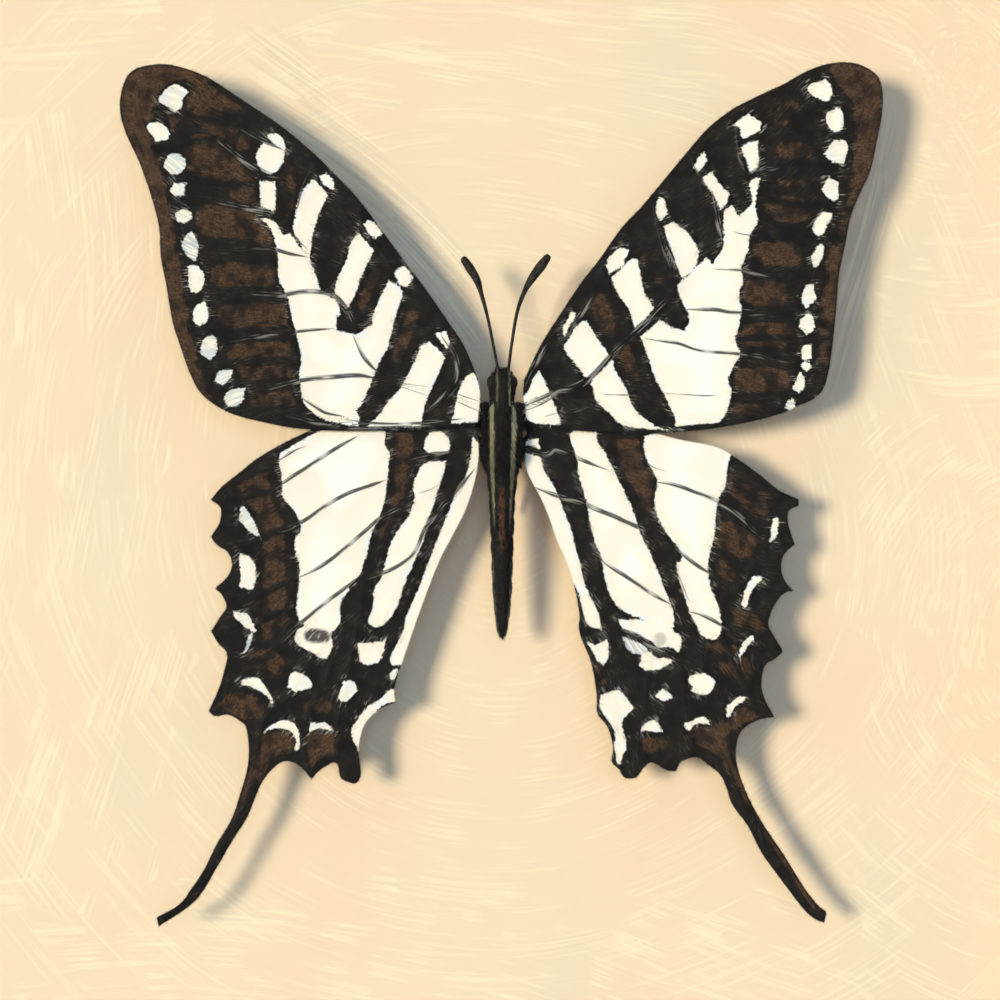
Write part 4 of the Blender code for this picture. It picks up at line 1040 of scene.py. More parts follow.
# %% Veins
VEINS = {
    "forewing_left": [
        (0.2, [-24, 34.2, -22.5, 33.3, -21, 32.6, -20, 32.1]),
        (0.3, [-26, 33.1, -24, 31.5, -22.3, 30.3, -20, 29.5]), (0.3, [-26, 27.3, -23, 26.7, -20, 26.2]),
        (0.2, [-23, 23.1, -21, 23, -19, 22.5, -17.3, 22.2]),
        (0.25, [-23, 18.9, -20, 18.8, -18, 19.1, -16, 19, -15, 18.6, -14, 17.4, -13.2, 15.8]),
        (0.15, [-25, 14.5, -22, 15, -20, 15.2, -18, 15.5, -15.2, 15.7]),
        (0.25, [-21.5, 10.1, -20, 10.5, -18, 11, -15, 11.3, -13, 11.4, -11, 11.1]),
        (0.2, [-13.4, 15, -12.5, 13.1, -11.5, 12, -10.8, 11.4]),
        (0.15, [-18.8, 9.8, -17, 8.6, -16, 8, -14, 7.6]), (0.08, [-8.8, 10.7, -6.7, 10.4]),
        (0.08, [-9, 10.4, -6.7, 9.6]), (0.15, [-3.8, 9.7, -2, 9.1]), (0.15, [-3.8, 9, -2, 8.2]),
        (0.15, [-19.35, 24.8, -17.7, 23]), (0.2, [-5.3, 15, -3.96, 12.8, -4.2, 10.5, -6.9, 7.9]),
        (0.12, [-11.3, 23.25, -10.2, 21.7]), (0.14, [-20, 7.9, -15.5, 6.85, -10, 6.6, -5.5, 6.75]),
        (0.12, [-14.5, 7.45, -10.5, 7, -6.5, 7.15, -3, 7.5]), (0.12, [-17, 30.6, -17.9, 29, -18.6, 26.6]),
        (0.12, [-12.9, 26.4, -12.6, 25, -11.6, 23.4])],
    "forewing_right": [
        (0.25, [2.1, 8.6, 3, 9, 4.2, 9.5, 5.2, 10, 6.5, 10.2, 7.6, 10.7, 8.3, 11.3, 9.2, 12.2, 10, 13.1,
            10.8, 13.9, 11.8, 14.9, 12.6, 15.6, 13.5, 16.5, 14.3, 17.4, 15.4, 18.5]),
        (0.12, [2.1, 8.15, 4, 8.9, 5.2, 9.6]), (0.12, [2.1, 8.8, 3, 9.3, 4.3, 9.7]),
        (0.1, [4.2, 7.7, 5.2, 8, 7, 8.2, 8.6, 8.7]),
        (0.2, [5.9, 14.6, 6.6, 15.9, 7.3, 16.9, 8.1, 18, 8.8, 19.3]),
        (0.2, [17, 17.5, 18.5, 17.45, 20, 17.4, 21, 17.2, 22.3, 17.15, 24.5, 17]),
        (0.15, [13.4, 14.8, 15.3, 14.5, 16.5, 14.3, 17.8, 13.8, 19, 13.6, 20.5, 13.5, 22.5, 13.3,
            24, 13.1, 25, 12.7, 27, 12.4]),
        (0.06, [15.3, 9.8, 18, 9.6, 19.5, 9.55]), (0.1, [9.6, 9.7, 12.8, 9.6]),
        (0.15, [19.8, 21.15, 21.4, 21.1, 22.5, 21, 24.3, 20.5, 26.5, 20.2]),
        (0.15, [21.6, 24.5, 22.8, 24.3, 24.5, 24.3]), (0.08, [21, 9.2, 23, 9.3, 25.2, 9.4]),
        (0.2, [22.3, 29.6, 23.5, 30.3, 25, 30.3, 25.8, 30.5]), (0.25, [22, 32.5, 23.6, 33.3]),
        (0.3, [19.5, 28.2, 20.35, 23.6]), (0.15, [14.5, 25.7, 16.7, 19.5]),
        (0.1, [14.1, 25.9, 15.2, 22.4, 16.3, 19.2]), (0.12, [21.6, 34.3, 21.9, 31.6, 22.6, 29.6]),
        (0.14, [17.4, 31.6, 17.9, 30.4, 19.2, 28.2]), (0.12, [14, 27.6, 14.3, 25.8, 15.2, 23.6]),
        (0.1, [23.9, 32.6, 23.9, 31, 23.4, 29.6]), (0.2, [2, 10, 2.6, 11.3, 3.5, 13, 4.8, 15.2])],
    "hindwing_left": [
        (0.2, [-20.6, 3.5, -19.8, 4, -18.8, 4.6, -18, 4.9]),
        (0.2, [-21, 0.85, -19, 2.2, -17, 3.5, -15, 4.8, -13.2, 5.8]),
        (0.2, [-20.6, -2.9, -19.5, -2.7, -18, -1.9, -16, -0.5, -14, 0.6, -12, 1.3, -10.1, 2]),
        (0.2, [-18.3, -7, -17.2, -6.5, -16, -5.8, -14, -4.2, -12, -2.5, -11.2, -1.8, -10, -1.1, -9, -0.5,
            -8.2, 0.6]),
        (0.2, [-20.2, -13.2, -19.2, -12.2, -18.3, -11.3, -16, -9.4, -14, -7.9, -13, -7]),
        (0.12, [-15.8, -12.5, -15, -11.8, -14.2, -11, -12.9, -10]),
        (0.2, [-12.5, -7.3, -11, -6.8, -10, -6.4, -9, -5.8, -8.2, -5.2, -7.6, -4.3, -6.9, -2.6,
            -6.2, -1.9, -5.2, -0.4, -4.4, 0.2, -3.1, 1.9, -2.3, 2.9]),
        (0.12, [-7.3, 0.7, -6.4, 1, -5.7, 1.4]), (0.2, [-8.5, 3.7, -7, 4.1, -4.2, 4.5])],
    "hindwing_right": [
        (0.2, [1.7, 4.8, 4.2, 4.2, 5, 4.7, 6.5, 4.2, 7.5, 3.7, 8.5, 3.3, 9.7, 2.85]),
        (0.25, [3.2, 1.2, 5.2, 0.4, 7.5, -0.2, 8.5, -0.7, 9.5, -1.1, 10.5, -1.5, 11.5, -2, 13.5, -2.8,
            14.4, -3.2]),
        (0.2, [9.2, -5.3, 9.8, -5.9, 11.2, -6.8, 12, -7.3, 13.6, -8.4, 15, -9.2, 15.8, -9.6]),
        (0.15, [13.4, 3.6, 14, 3.1, 15, 2.7]),
        (0.2, [14.3, 1.7, 16, 1.4, 18, 0.7, 20, -0.1, 21.6, -1.2, 23.3, -2.8, 24, -3.3]),
        (0.2, [15.9, -4, 16.6, -4.8, 17.8, -5.8, 19.2, -6.7, 19.9, -7.2]),
        (0.12, [16.4, -6.8, 16.8, -7.8, 17.3, -9.2]),
        (0.2, [17.3, -10.2, 18.4, -10.5, 20, -11.3, 21.2, -12.1]),
        (0.28, [11, -11.7, 12.8, -12.6, 13.6, -13.2, 15.2, -14, 16.8, -14.6]),
        (0.12, [14.5, -15.6, 15.5, -15.3, 16.5, -14.9])],
}
RIBS = {
    "forewing_left": [
        [-34.6, 36, -30, 35.4, -24, 34.2], [-33.6, 32.2, -31, 32.2, -28, 32.8, -26, 33.1],
        [-32.3, 29.2, -29.5, 29.6, -26, 29, -22, 28.9], [-32, 27.6, -29, 27.5, -26, 27.3],
        [-31.2, 23.2, -28.7, 23.1, -26, 22.9, -23, 23.1], [-30.3, 18.7, -27.5, 18.7, -23, 18.9],
        [-29.8, 15.5, -27, 15.5, -25.5, 14.9, -25, 14.5], [-29, 12.4, -26, 12.5, -22, 12.7, -18.3, 12.8],
        [-27, 9.9, -25.5, 10.25, -23.2, 10.75, -21.5, 10.1]],
    "forewing_right": [
        [34.9, 36.2, 30.5, 36.1, 25.5, 34.9], [34.3, 32.8, 31, 33.3, 27.5, 33.4, 24, 33.4],
        [33.4, 29.4, 30.2, 30.2, 25.8, 30.5], [32.3, 26.6, 29.6, 26.8, 26, 27.2, 23.6, 27.9],
        [31.6, 23.8, 29, 23.9, 24.5, 24.3], [31, 20.6, 28.6, 20.4, 26.5, 20.2],
        [30.7, 17.3, 28.2, 17.3, 24.5, 17], [30.4, 14.6, 28, 14.7, 24.5, 14.9, 21.5, 14.7],
        [30.2, 12.2, 28.2, 12.3, 27, 12.4], [29.6, 9.9, 27.3, 9.7, 25.2, 9.4]],
    "hindwing_left": [
        [-20.6, 3.5, -22.5, 2.5, -24.5, 1.6], [-21, 0.85, -23, 0.35, -25, 0.1, -26.3, 0],
        [-20.6, -2.9, -22.5, -3.9, -24.5, -4, -26.3, -3.5],
        [-18.3, -7, -20.5, -8, -22.5, -8.8, -26, -8.3], [-20.4, -10.5, -23, -11.4, -26.3, -12],
        [-20.2, -13.2, -21.8, -14.6, -24.9, -14.6],
        [-15.8, -12.5, -17.5, -15, -19.8, -18.3, -21.7, -20.2, -22.3, -23, -22.6, -26, -24, -29,
            -26.4, -33.2, -28.8, -36.6, -31, -38.4],
        [-14.5, -12.8, -16.3, -17, -17.9, -20.5, -18, -23, -17.4, -25.3],
        [-12.5, -7.3, -13.2, -12, -14, -16, -14.8, -20, -14.9, -23.5]],
    "hindwing_right": [
        [21.3, 3, 24, 1.2, 27.3, -0.2], [24, -3.3, 27, -4.1], [19.9, -7.2, 22, -8, 26.8, -8.3],
        [21.2, -12.1, 23, -13.2, 25.9, -13.9], [20.3, -12, 22, -16, 23.6, -18.8, 25, -19.8],
        [16.8, -13, 18.5, -15, 20, -18.3, 21, -20.8, 21.2, -24, 21.9, -27, 23.6, -30, 25.8, -33.3,
            28, -36.6, 29.8, -38.3],
        [16.5, -14.9, 17, -18.5, 17.3, -20.5, 17.6, -23, 16.3, -24.8],
        [14, -13, 13.6, -16, 13.3, -19, 12.8, -22, 12.5, -25.3]],
}

# %% Brown patches
BROWN_PATCHES = {
    "forewing_left": [
        (-27.3, 35.2, -23.6, 32.9, 0.8, 0.85), (-27.2, 31.6, -25.4, 30.4, 1.4, 0.9),
        (-25.4, 29.6, -22.6, 28, 1, 0.8), (-26.4, 25.6, -23.4, 25.3, 1.1, 1.1),
        (-23, 25, -21.3, 24.1, 0.8, 0.9), (-25.4, 20.6, -21.3, 20.6, 0.9, 0.85),
        (-24.8, 16.8, -20.4, 16.9, 0.9, 0.8), (-24.5, 13.6, -19.6, 13.8, 0.7, 0.7),
        (-23.5, 11.7, -19.6, 11.7, 0.6, 0.7), (-22.2, 9.1, -19.3, 9.3, 0.7, 0.7),
        (-19.7, 31.2, -18.9, 28.3, 0.45, 0.9), (-18.9, 28, -19.6, 25.6, 0.4, 0.7),
        (-8, 16.8, -9.4, 13.2, 0.55, 0.9), (-11.4, 20.9, -12.6, 18, 0.55, 0.85),
        (-5.1, 12.3, -6.2, 7.6, 0.5, 0.4)],
    "forewing_right": [
        (25.4, 36.3, 27, 36.1, 0.45, 0.7), (25.3, 34.9, 26.1, 34.7, 0.45, 0.75),
        (26.1, 32, 27.9, 32, 0.68, 0.95), (25.6, 29.1, 27.6, 29, 0.4, 0.8),
        (25.5, 26.8, 27.1, 26.5, 0.95, 1), (24.4, 22.6, 26.5, 22.5, 0.9, 0.9),
        (23.3, 19, 25.2, 18.9, 0.95, 0.95), (22.9, 15.1, 25.6, 15.1, 0.95, 0.9),
        (22.4, 11, 25.5, 11, 0.9, 0.85), (21.7, 8.3, 23.6, 8.2, 0.6, 0.75),
        (28.1, 23.4, 28.3, 24.6, 0.25, 0.9), (28.7, 20.9, 28.8, 20.3, 0.3, 0.9),
        (27.2, 17, 27.2, 15.2, 0.25, 0.8), (27, 13.6, 27.1, 12.4, 0.25, 0.7),
        (9, 18.2, 9.8, 16.2, 0.75, 0.9), (11.4, 13.6, 12.2, 12, 0.65, 0.8),
        (12.6, 22.8, 15.3, 19, 0.6, 0.4)],
    "hindwing_left": [
        (-21.6, 2.3, -23.8, 1.2, 0.5, 0.9), (-22.5, -24.6, -23.7, -28.4, 0.4, 1.65),
        (-23.7, -28.4, -26.3, -33.2, 0.35, 1.6), (-26.3, -33.2, -30, -37.7, 0.3, 1.6)],
    "hindwing_right": [
        (21, -3.4, 22.3, -3.9, 1, 1.15), (20.4, -6.3, 20.9, -6.9, 0.7, 0.8),
        (20.5, -12.9, 21.8, -15.6, 1.1, 0.6), (22.3, -10.6, 23.4, -11.6, 0.9, 0.5),
        (8.8, -15.4, 9.4, -16.6, 0.5, 0.6), (12.2, -10.5, 13.6, -11.3, 0.3, 0.9),
        (14.6, -6.4, 16.2, -10, 0.4, 0.6), (21.7, -23.5, 22.4, -26.6, 0.5, 1.9),
        (22.4, -26.6, 24.9, -31.2, 0.45, 1.8), (24.9, -31.2, 28.8, -37.4, 0.45, 1.9)],
}
# Larger brown areas, each with its strength and its closed outline. Above 1 it also covers the ribs.
BROWN_AREAS = {
    "forewing_left": [
        (2, [-25.5, 39.2, -28, 40.6, -31, 41, -36, 40, -36, 34, -33, 27, -32, 20, -30.5, 13, -27.5, 8,
            -26.4, 9.4, -27.9, 13.5, -28.8, 18.4, -29.4, 22, -30, 26.2, -30.8, 30, -31.7, 32.4,
            -31.9, 34.2, -31.4, 36.2, -30.6, 37.6, -28.9, 38.3, -27.2, 38]),
        (1, [-28.4, 37.6, -26.5, 38, -23.4, 35.9, -24.5, 35, -26.8, 35.9, -28.4, 35.6, -30.3, 33.2,
            -30.3, 35.4])],
    "forewing_right": [
        (2.2, [30.2, 39.4, 31, 41, 36, 41, 36, 34, 34.6, 31, 33.4, 28.4, 32.4, 28.2, 32.1, 29.2,
            32.3, 30.4, 32.4, 32.3, 32.5, 33.9, 32.3, 35.5, 31.8, 37.1, 30.9, 38.1]),
        (0.95, [32.4, 28.6, 33.4, 28.8, 32.2, 25, 31.2, 22.6, 30.3, 22.8, 30.9, 25, 31.5, 27.2]),
        (1.7, [29.7, 22.6, 30.6, 23.4, 31.6, 22, 31.4, 17.6, 30.3, 15.6, 29.5, 16.4, 29.3, 18,
            29.8, 20.2]),
        (0.7, [29.1, 16.2, 30.4, 16.2, 30.2, 11.2, 29, 11.6])],
    "hindwing_left": [
        (0.85, [-23.4, 1, -21.5, 2.4, -20.9, 1.5, -20.8, 0, -19.7, -2.2, -19.7, -5, -19.5, -8,
            -19.6, -10.8, -20.5, -12.6, -21.8, -13.4, -22, -12, -21.9, -9, -21.9, -5, -22, -3.5,
            -22.6, -1.5, -23.3, -0.2]),
        (1.15, [-24, -14.6, -22, -13.7, -20.4, -13.8, -19.7, -15, -20, -16.3, -22, -15.6, -23.8, -16]),
        (1.05, [-26.2, -18.8, -24.6, -17.6, -22.6, -17.9, -21.4, -19.2, -21.8, -20.1, -23.5, -20.2,
            -25, -19.5]),
        (1.55, [-21.9, -21.7, -21.1, -20.9, -20, -20.7, -19.1, -21.3, -18.7, -22.5, -19.2, -23.3,
            -20.5, -23.5, -21.4, -24.6, -22.4, -27, -22.9, -25]),
        (1.5, [-18, -21.9, -17.3, -21.2, -16.3, -20.9, -15.4, -21.2, -14.9, -22.4, -15.3, -23.6,
            -16.6, -24, -17.4, -24.8, -18, -23.6]),
        (0.8, [-18.6, -18.3, -16, -18.2, -15, -18.9, -15.6, -19.8, -18, -19.8]),
        (0.85, [-9.9, 6.4, -8, 6.2, -7.8, 4.6, -8.4, 2.8, -8.6, 0.6, -9.5, -1, -10.8, -3.5, -11.5, -6,
            -12, -6.5, -11.6, -4.8, -11, -2.3, -10, 0.4, -9.8, 3, -9.8, 4.5])],
    "hindwing_right": [
        (1.5, [10.6, 5.6, 12.8, 5.6, 13.2, 3.9, 14.2, 1.6, 14.2, -1.4, 13.3, -0.9, 12.2, 1.2, 11, 3.2]),
        (0.55, [21, 3.2, 23.6, 2, 25.8, -0.2, 24.3, -1.8, 22, -0.6, 20.8, 0.8]),
        (1.6, [21.3, -19.3, 22.6, -18.9, 23.8, -19.9, 21.9, -20.9, 21.2, -22.2, 21.7, -23.9, 22.6, -26.4,
            23.2, -28, 22.2, -28, 21.2, -25.8, 20.2, -23.7, 18.4, -22.6, 16.9, -21.9, 17.3, -21,
            18.4, -20.8, 19.3, -20.9, 20.4, -20.2]),
        (0.8, [12.8, -21.7, 14.6, -21.6, 15.5, -22.2, 15.2, -23.2, 13.4, -23.3, 12.7, -22.6])],
}

# %% Smoky marks
# On the pale marks a few grey spots lie like soot. Each has a strength and a closed outline.
SMOKE = {
    "forewing_left": [], "forewing_right": [],
    "hindwing_left": [
        (1, [-17.9, -12.1, -17.3, -11.8, -16.8, -11.85, -16, -12, -15.6, -12.3, -15.7, -13, -16.4, -13.1,
            -17.2, -13.1, -17.8, -12.9, -18, -12.5])],
    "hindwing_right": [
        (0.4, [14.1, -12.6, 14.5, -12.2, 15, -12.2, 15.3, -12.7, 15.1, -13.3, 14.5, -13.4]),
        (0.9, [7.2, -11.5, 7.8, -11.4, 8.3, -11.7, 9.4, -11.9, 9.5, -12.3, 9.2, -12.9, 8.7, -13.1,
            8.2, -12.7, 7.6, -12.3, 7.2, -12])],
}
# Along these stretches the fringe is ashen: low x, low z, high x and high z of a box round each.
ASHEN_EDGES = {
    "forewing_left": [(-33.4, 12, -28, 33)], "forewing_right": [(33.6, 29, 36, 38), (28.5, 9, 30.5, 12)],
    "hindwing_left": [(-26.6, -8.2, -24.4, -3.8), (-27, -20.3, -26, -18.8), (-12.9, -22.5, -9, -18)],
    "hindwing_right": [(8.8, -23, 10.6, -18), (2, -8, 7, 3)],
}

# %% [markdown]
# Modelling a wing
#
# A wing is a sheet thinner than paper. It starts as a fine flat grid in front of the board. What lies
# outside the outline is deleted, and the ragged corners that are left move onto the outline. Then the sheet
# gets its relief: the tips rise a little towards the glass, every vein stands up as a rib, and the skin
# between the ribs is hollow. A Solidify modifier gives the thickness last, so both faces follow the relief.
#
# How far each corner of the grid is from marks, veins and patches is written into the mesh. The finish
# reads these numbers, and colours the scales by them.

# %% The size of the relief
WING_THICKNESS = 0.1
FAN = {"forewing_left": (10.5, 15.0), "forewing_right": (-10.5, 15.0), "hindwing_left": (6.0, 9.0),
       "hindwing_right": (-6.0, 9.0)}
HEIGHT = {"forewing_left": 6.1, "forewing_right": 6.1, "hindwing_left": 5.4, "hindwing_right": 5.4}
SPAN = 35.0
TIP_LIFT = 0.6
RIB_HEIGHT = 0.08
RIB_WIDTH = 0.22
HOLLOW = 0.07
WAVES = 0.02
MARK_HEIGHT = 0.012
MARK_REACH = 1.0
VEIN_REACH = 1.6
OUTLINE_STEP = 0.25
LINE_STEP = 0.3
AREA_STEP = 0.4


# %% Reading the drawing at places on a wing
def outline_of(wing):
    rows = [line_through(stretch, OUTLINE_STEP, corner=math.pi)[:-1] for stretch in OUTLINES[wing]]
    rows.append(rows[0][:1])
    return np.vstack(rows)


def covered(places, areas, step, low, high):
    """How strongly the strongest of some closed outlines covers each place."""
    cover = np.zeros(len(places))
    for strength, points in areas:
        loop = line_through(points, step, closed=True)
        cover = np.maximum(cover, strength * slope(depth(loop, places), low, high))
    return cover


def read_marks(wing, places):
    """How far inside a pale mark each place is, and how bluish that mark is."""
    pale = np.full(len(places), -MARK_REACH)
    cool = np.zeros(len(places))
    for share, points in MARKS[wing]:
        loop = line_through(points, LINE_STEP, closed=True)
        close = close_by(loop, places, MARK_REACH)
        deep = depth(loop, places[close])
        better = deep > pale[close]
        pale[close[better]] = deep[better]
        cool[close[better]] = share
    return pale, cool


def read_veins(wing, places):
    """Along, beside and half the width of the nearest coloured vein, and how far the nearest rib is."""
    vein = np.tile((0.0, VEIN_REACH, 0.0), (len(places), 1))
    rib = np.full(len(places), VEIN_REACH)
    for half, points in VEINS[wing] + [(0.0, points) for points in RIBS[wing]]:
        line = line_through(points, LINE_STEP)
        close = close_by(line, places, VEIN_REACH)
        far, along, side, _ = near(line, places[close])
        rib[close] = np.minimum(rib[close], far)
        if half:
            whole = travelled(line)[-1]
            taper = np.clip(np.minimum(along, whole - along) / 2.0 + 0.1, 0.0, 1.0)
            better = far - half * taper < np.abs(vein[close, 1]) - vein[close, 2]
            vein[close[better]] = np.column_stack([along, side, half * taper])[better]
    return vein, rib


def read_drawing(wing, places, rim):
    """Everything that the finish needs to know about these places, by name."""
    pale, cool = read_marks(wing, places)
    vein, rib = read_veins(wing, places)
    brown = covered(places, BROWN_AREAS[wing], AREA_STEP, -0.25, 0.5)
    for x1, z1, x2, z2, radius, strength in BROWN_PATCHES[wing]:
        far = near(np.array([(x1, z1), (x2, z2)]), places)[0]
        brown = np.maximum(brown, strength * slope(radius * 1.7 - far, 0.0, 0.8))
    smoke = covered(places, SMOKE[wing], LINE_STEP, -0.12, 0.1)
    x, z = (places - FAN[wing]).T
    fan = np.column_stack([np.hypot(x, z), np.arctan2(z, np.abs(x)) * 30.0, np.zeros(len(places))])
    return {"pale": pale, "cool": cool, "vein": vein, "rib": rib, "brown": brown, "smoke": smoke,
            "rim": rim, "fan": fan}


# %% The relief of a wing
def wing_surface(wing, places, rib, pale):
    """Where the front face of a wing is along y, in millimetres."""
    x, z = places.T
    lift = TIP_LIFT * (x / SPAN) ** 2 + RIB_HEIGHT * np.exp(-(rib / RIB_WIDTH) ** 2)
    lift -= HOLLOW * slope(rib, 0.2, VEIN_REACH)
    waves = WAVES * np.sin(x * 1.3 + z * 0.7) * np.sin(z * 1.1 - x * 0.4)
    lift += waves + MARK_HEIGHT * slope(pale, -0.1, 0.1)
    return BOARD_MM - HEIGHT[wing] - lift


# %% Fine hairs
# A hair has three corners at its root, three at its middle, where it is slimmer, and a tip.
HAIR_RINGS = ((0.0, 1.0), (0.5, 0.75))
HAIR_SIDES = [(0, 1, 4, 3), (1, 2, 5, 4), (2, 0, 3, 5)]
HAIR_ENDS = [(3, 4, 6), (4, 5, 6), (5, 3, 6), (2, 1, 0)]
HAIR_CORNERS = 7


def hair_mesh(name, roots, tips, radius, spin):
    """Closed three-sided hairs as one mesh. All lengths are in millimetres."""
    way = tips - roots
    length = np.linalg.norm(way, axis=1, keepdims=True)
    way = way / length
    across = np.cross(way, (0.31, -0.9, 0.17))
    across /= np.linalg.norm(across, axis=1, keepdims=True)
    second = np.cross(way, across)
    corners_of_hair = []
    for height, share in HAIR_RINGS:
        middle = roots + way * length * height
        for third in range(3):
            angle = (third * math.tau / 3 + spin)[:, None]
            aside = across * np.cos(angle) + second * np.sin(angle)
            corners_of_hair.append(middle + aside * radius * share)
    corners_of_hair.append(tips)
    spots = np.stack(corners_of_hair, axis=1).reshape(-1, 3) * MM
    first = np.arange(len(roots))[:, None, None] * HAIR_CORNERS
    faces = [row for kind in (HAIR_SIDES, HAIR_ENDS)
             for row in (first + np.array(kind)).reshape(-1, len(kind[0])).tolist()]
    mesh = bpy.data.meshes.new(name)
    mesh.from_pydata(spots.tolist(), [], faces)
    made = new_object(name, mesh)
    settle(made, ROUND)
    return made


# %% A sheet with the outline of a wing
GRID = 0.17
CUT = -0.45 * GRID
EDGE_MERGE = 0.025 * MM


def add_grid(name, outline):
    """A flat grid over an outline, facing the front."""
    low, high = outline.min(0) - GRID, outline.max(0) + GRID
    size = high - low
    middle = (low + high) / 2
    across, up = (int(side / GRID) for side in size)
    bpy.ops.mesh.primitive_grid_add(x_subdivisions=across, y_subdivisions=up, size=1.0, rotation=UPRIGHT,
                                    location=at(middle[0], 0.0, middle[1]))
    made = named(name)
    made.scale = (size[0] * MM, size[1] * MM, 1.0)
    settle(made)
    return made


def flat(rows):
    """Millimetres across and up from the middle of the picture."""
    return np.column_stack([rows[:, 0] / MM, (rows[:, 2] - CENTRE_UP) / MM])


def cut_to(sheet, outline):
    """Deletes what is outside the outline, and moves the corners at the cut onto it."""
    rim = depth(outline, flat(corners(sheet)))
    edit_all(sheet)
    bpy.ops.mesh.select_mode(type="VERT")
    bpy.ops.mesh.select_all(action="DESELECT")
    bpy.ops.object.mode_set(mode="OBJECT")
    sheet.data.vertices.foreach_set("select", rim < CUT)
    bpy.ops.object.mode_set(mode="EDIT")
    bpy.ops.mesh.delete(type="VERT")
    bpy.ops.object.mode_set(mode="OBJECT")
    for _ in range(2):
        edit_all(sheet)
        bpy.ops.mesh.remove_doubles(threshold=EDGE_MERGE)
        bpy.ops.mesh.delete_loose()
        bpy.ops.mesh.select_all(action="DESELECT")
        bpy.ops.mesh.select_non_manifold()
        bpy.ops.object.mode_set(mode="OBJECT")
        rows = corners(sheet)
        chosen = np.empty(len(rows), bool)
        sheet.data.vertices.foreach_get("select", chosen)
        foot = near(outline, flat(rows)[chosen])[3]
        rows[chosen, 0] = foot[:, 0] * MM
        rows[chosen, 2] = foot[:, 1] * MM + CENTRE_UP
        sheet.data.vertices.foreach_set("co", rows.ravel())
        sheet.data.update()


# %% The fringe
FRINGE_SPACING = 0.055
FRINGE_RADIUS = 0.028
FRINGE_INSIDE = (0.05, 0.28)
FRINGE_OUTSIDE = (0.0, 0.2)
FRINGE_LEAN = (-0.2, 0.2)
FRINGE_RISE = (-0.05, 0.05)


def standing(places, back):
    """Rows of x, y and z in millimetres from places on the picture."""
    return np.column_stack([places[:, 0], back, places[:, 1] + UP_MM])


def add_fringe(name, wing, outline, chance):
    """Short hairs that stand out all round the edge of a wing."""
    ways = np.diff(outline, axis=0)
    lengths = np.hypot(*ways.T)
    gone = travelled(outline)
    steps = np.arange(0.0, gone[-1], FRINGE_SPACING)
    count = len(steps)
    steps += chance.uniform(-0.4, 0.4, count) * FRINGE_SPACING
    edge = np.column_stack([np.interp(steps, gone, outline[:, axis]) for axis in (0, 1)])
    segment = np.clip(np.searchsorted(gone, steps) - 1, 0, len(ways) - 1)
    tangent = ways[segment] / lengths[segment, None]
    turn = np.sign((outline[:-1, 0] * outline[1:, 1] - outline[1:, 0] * outline[:-1, 1]).sum())
    outward = np.column_stack([tangent[:, 1], -tangent[:, 0]]) * turn
    inner = edge - outward * chance.uniform(*FRINGE_INSIDE, (count, 1))
    outer = edge + outward * chance.uniform(*FRINGE_OUTSIDE, (count, 1))
    outer += tangent * chance.uniform(*FRINGE_LEAN, (count, 1))
    found = read_drawing(wing, inner, np.zeros(count))
    front = wing_surface(wing, inner, found["rib"], found["pale"])
    level = front + chance.uniform(0.0, WING_THICKNESS, count)
    roots = standing(inner, level)
    tips = standing(outer, level + chance.uniform(*FRINGE_RISE, count))
    made = hair_mesh(name, roots, tips, FRINGE_RADIUS, chance.uniform(0, 2, count))
    x, z = edge.T
    ashen = [(x > low_x) & (z > low_z) & (x < high_x) & (z < high_z)
             for low_x, low_z, high_x, high_z in ASHEN_EDGES[wing]]
    found["ashen"] = np.any(ashen, axis=0) * chance.uniform(0.0, 1.0, count)
    for attribute, values in found.items():
        write_attribute(made, attribute, np.repeat(values, HAIR_CORNERS, axis=0))
    return made


# %% Building the four wings
def build_wing(name, wing, chance):
    outline = outline_of(wing)
    sheet = add_grid(name, outline)
    cut_to(sheet, outline)
    rows = corners(sheet)
    places = flat(rows)
    found = read_drawing(wing, places, depth(outline, places))
    rows[:, 1] = wing_surface(wing, places, found["rib"], found["pale"]) * MM
    sheet.data.vertices.foreach_set("co", rows.ravel())
    for attribute, values in found.items():
        write_attribute(sheet, attribute, values)
    apply_modifier(sheet, "thickness", "SOLIDIFY", thickness=WING_THICKNESS * MM, offset=-1.0)
    settle(sheet, SOFT)
    fringe = add_fringe(name + "_fringe", wing, outline, chance)
    pick(sheet, fringe)
    bpy.ops.object.join()
    return sheet


chance = np.random.default_rng(11)
wings = {}
for wing in OUTLINES:
    kind, side = wing.split("_")
    wings[wing] = build_wing(f"{side}_{kind}", wing, chance)

# %% [markdown]
# The colour of the scales
#
# The finish works in layers, as an illustrator would. The ground is black with a faint unevenness. Brown
# scales lie on it in a mottle of specks and of fine strokes along the rays of the wing. The pale marks
# cover both, with an edge made ragged by noise, and a few of their scales are bluish grey. Their middles
# are painted whiter, as a painted highlight. The veins come last, as bundles of strands: dark on the pale
# marks and light on the black.

# %% Colours of the scales
BLACK = (0.0050, 0.0045, 0.0040)
SOOT = (0.019, 0.0143, 0.0102)
HAIRLINE = (0.090, 0.071, 0.053)
BROWN = (0.024, 0.0148, 0.0092)
WARM_BROWN = (0.054, 0.0290, 0.0155)
LIGHT_BROWN = (0.130, 0.070, 0.036)
RIM_BROWN = (0.076, 0.041, 0.0225)
SCALE_CREAM = (0.905, 0.800, 0.628)
PAINTED_HIGHLIGHT_WHITE = (0.925, 0.872, 0.745)
SHADED_CREAM = (0.76, 0.71, 0.59)
COLD_WHITE = (0.80, 0.82, 0.79)
SMUDGE = (0.40, 0.38, 0.33)
BLUE_GREY = (0.38, 0.42, 0.44)
SMOKE_GREY = (0.075, 0.060, 0.050)
ASHEN = (0.42, 0.38, 0.30)
VEIN_DARK = (0.021, 0.018, 0.015)
VEIN_LIGHT = (0.27, 0.25, 0.21)

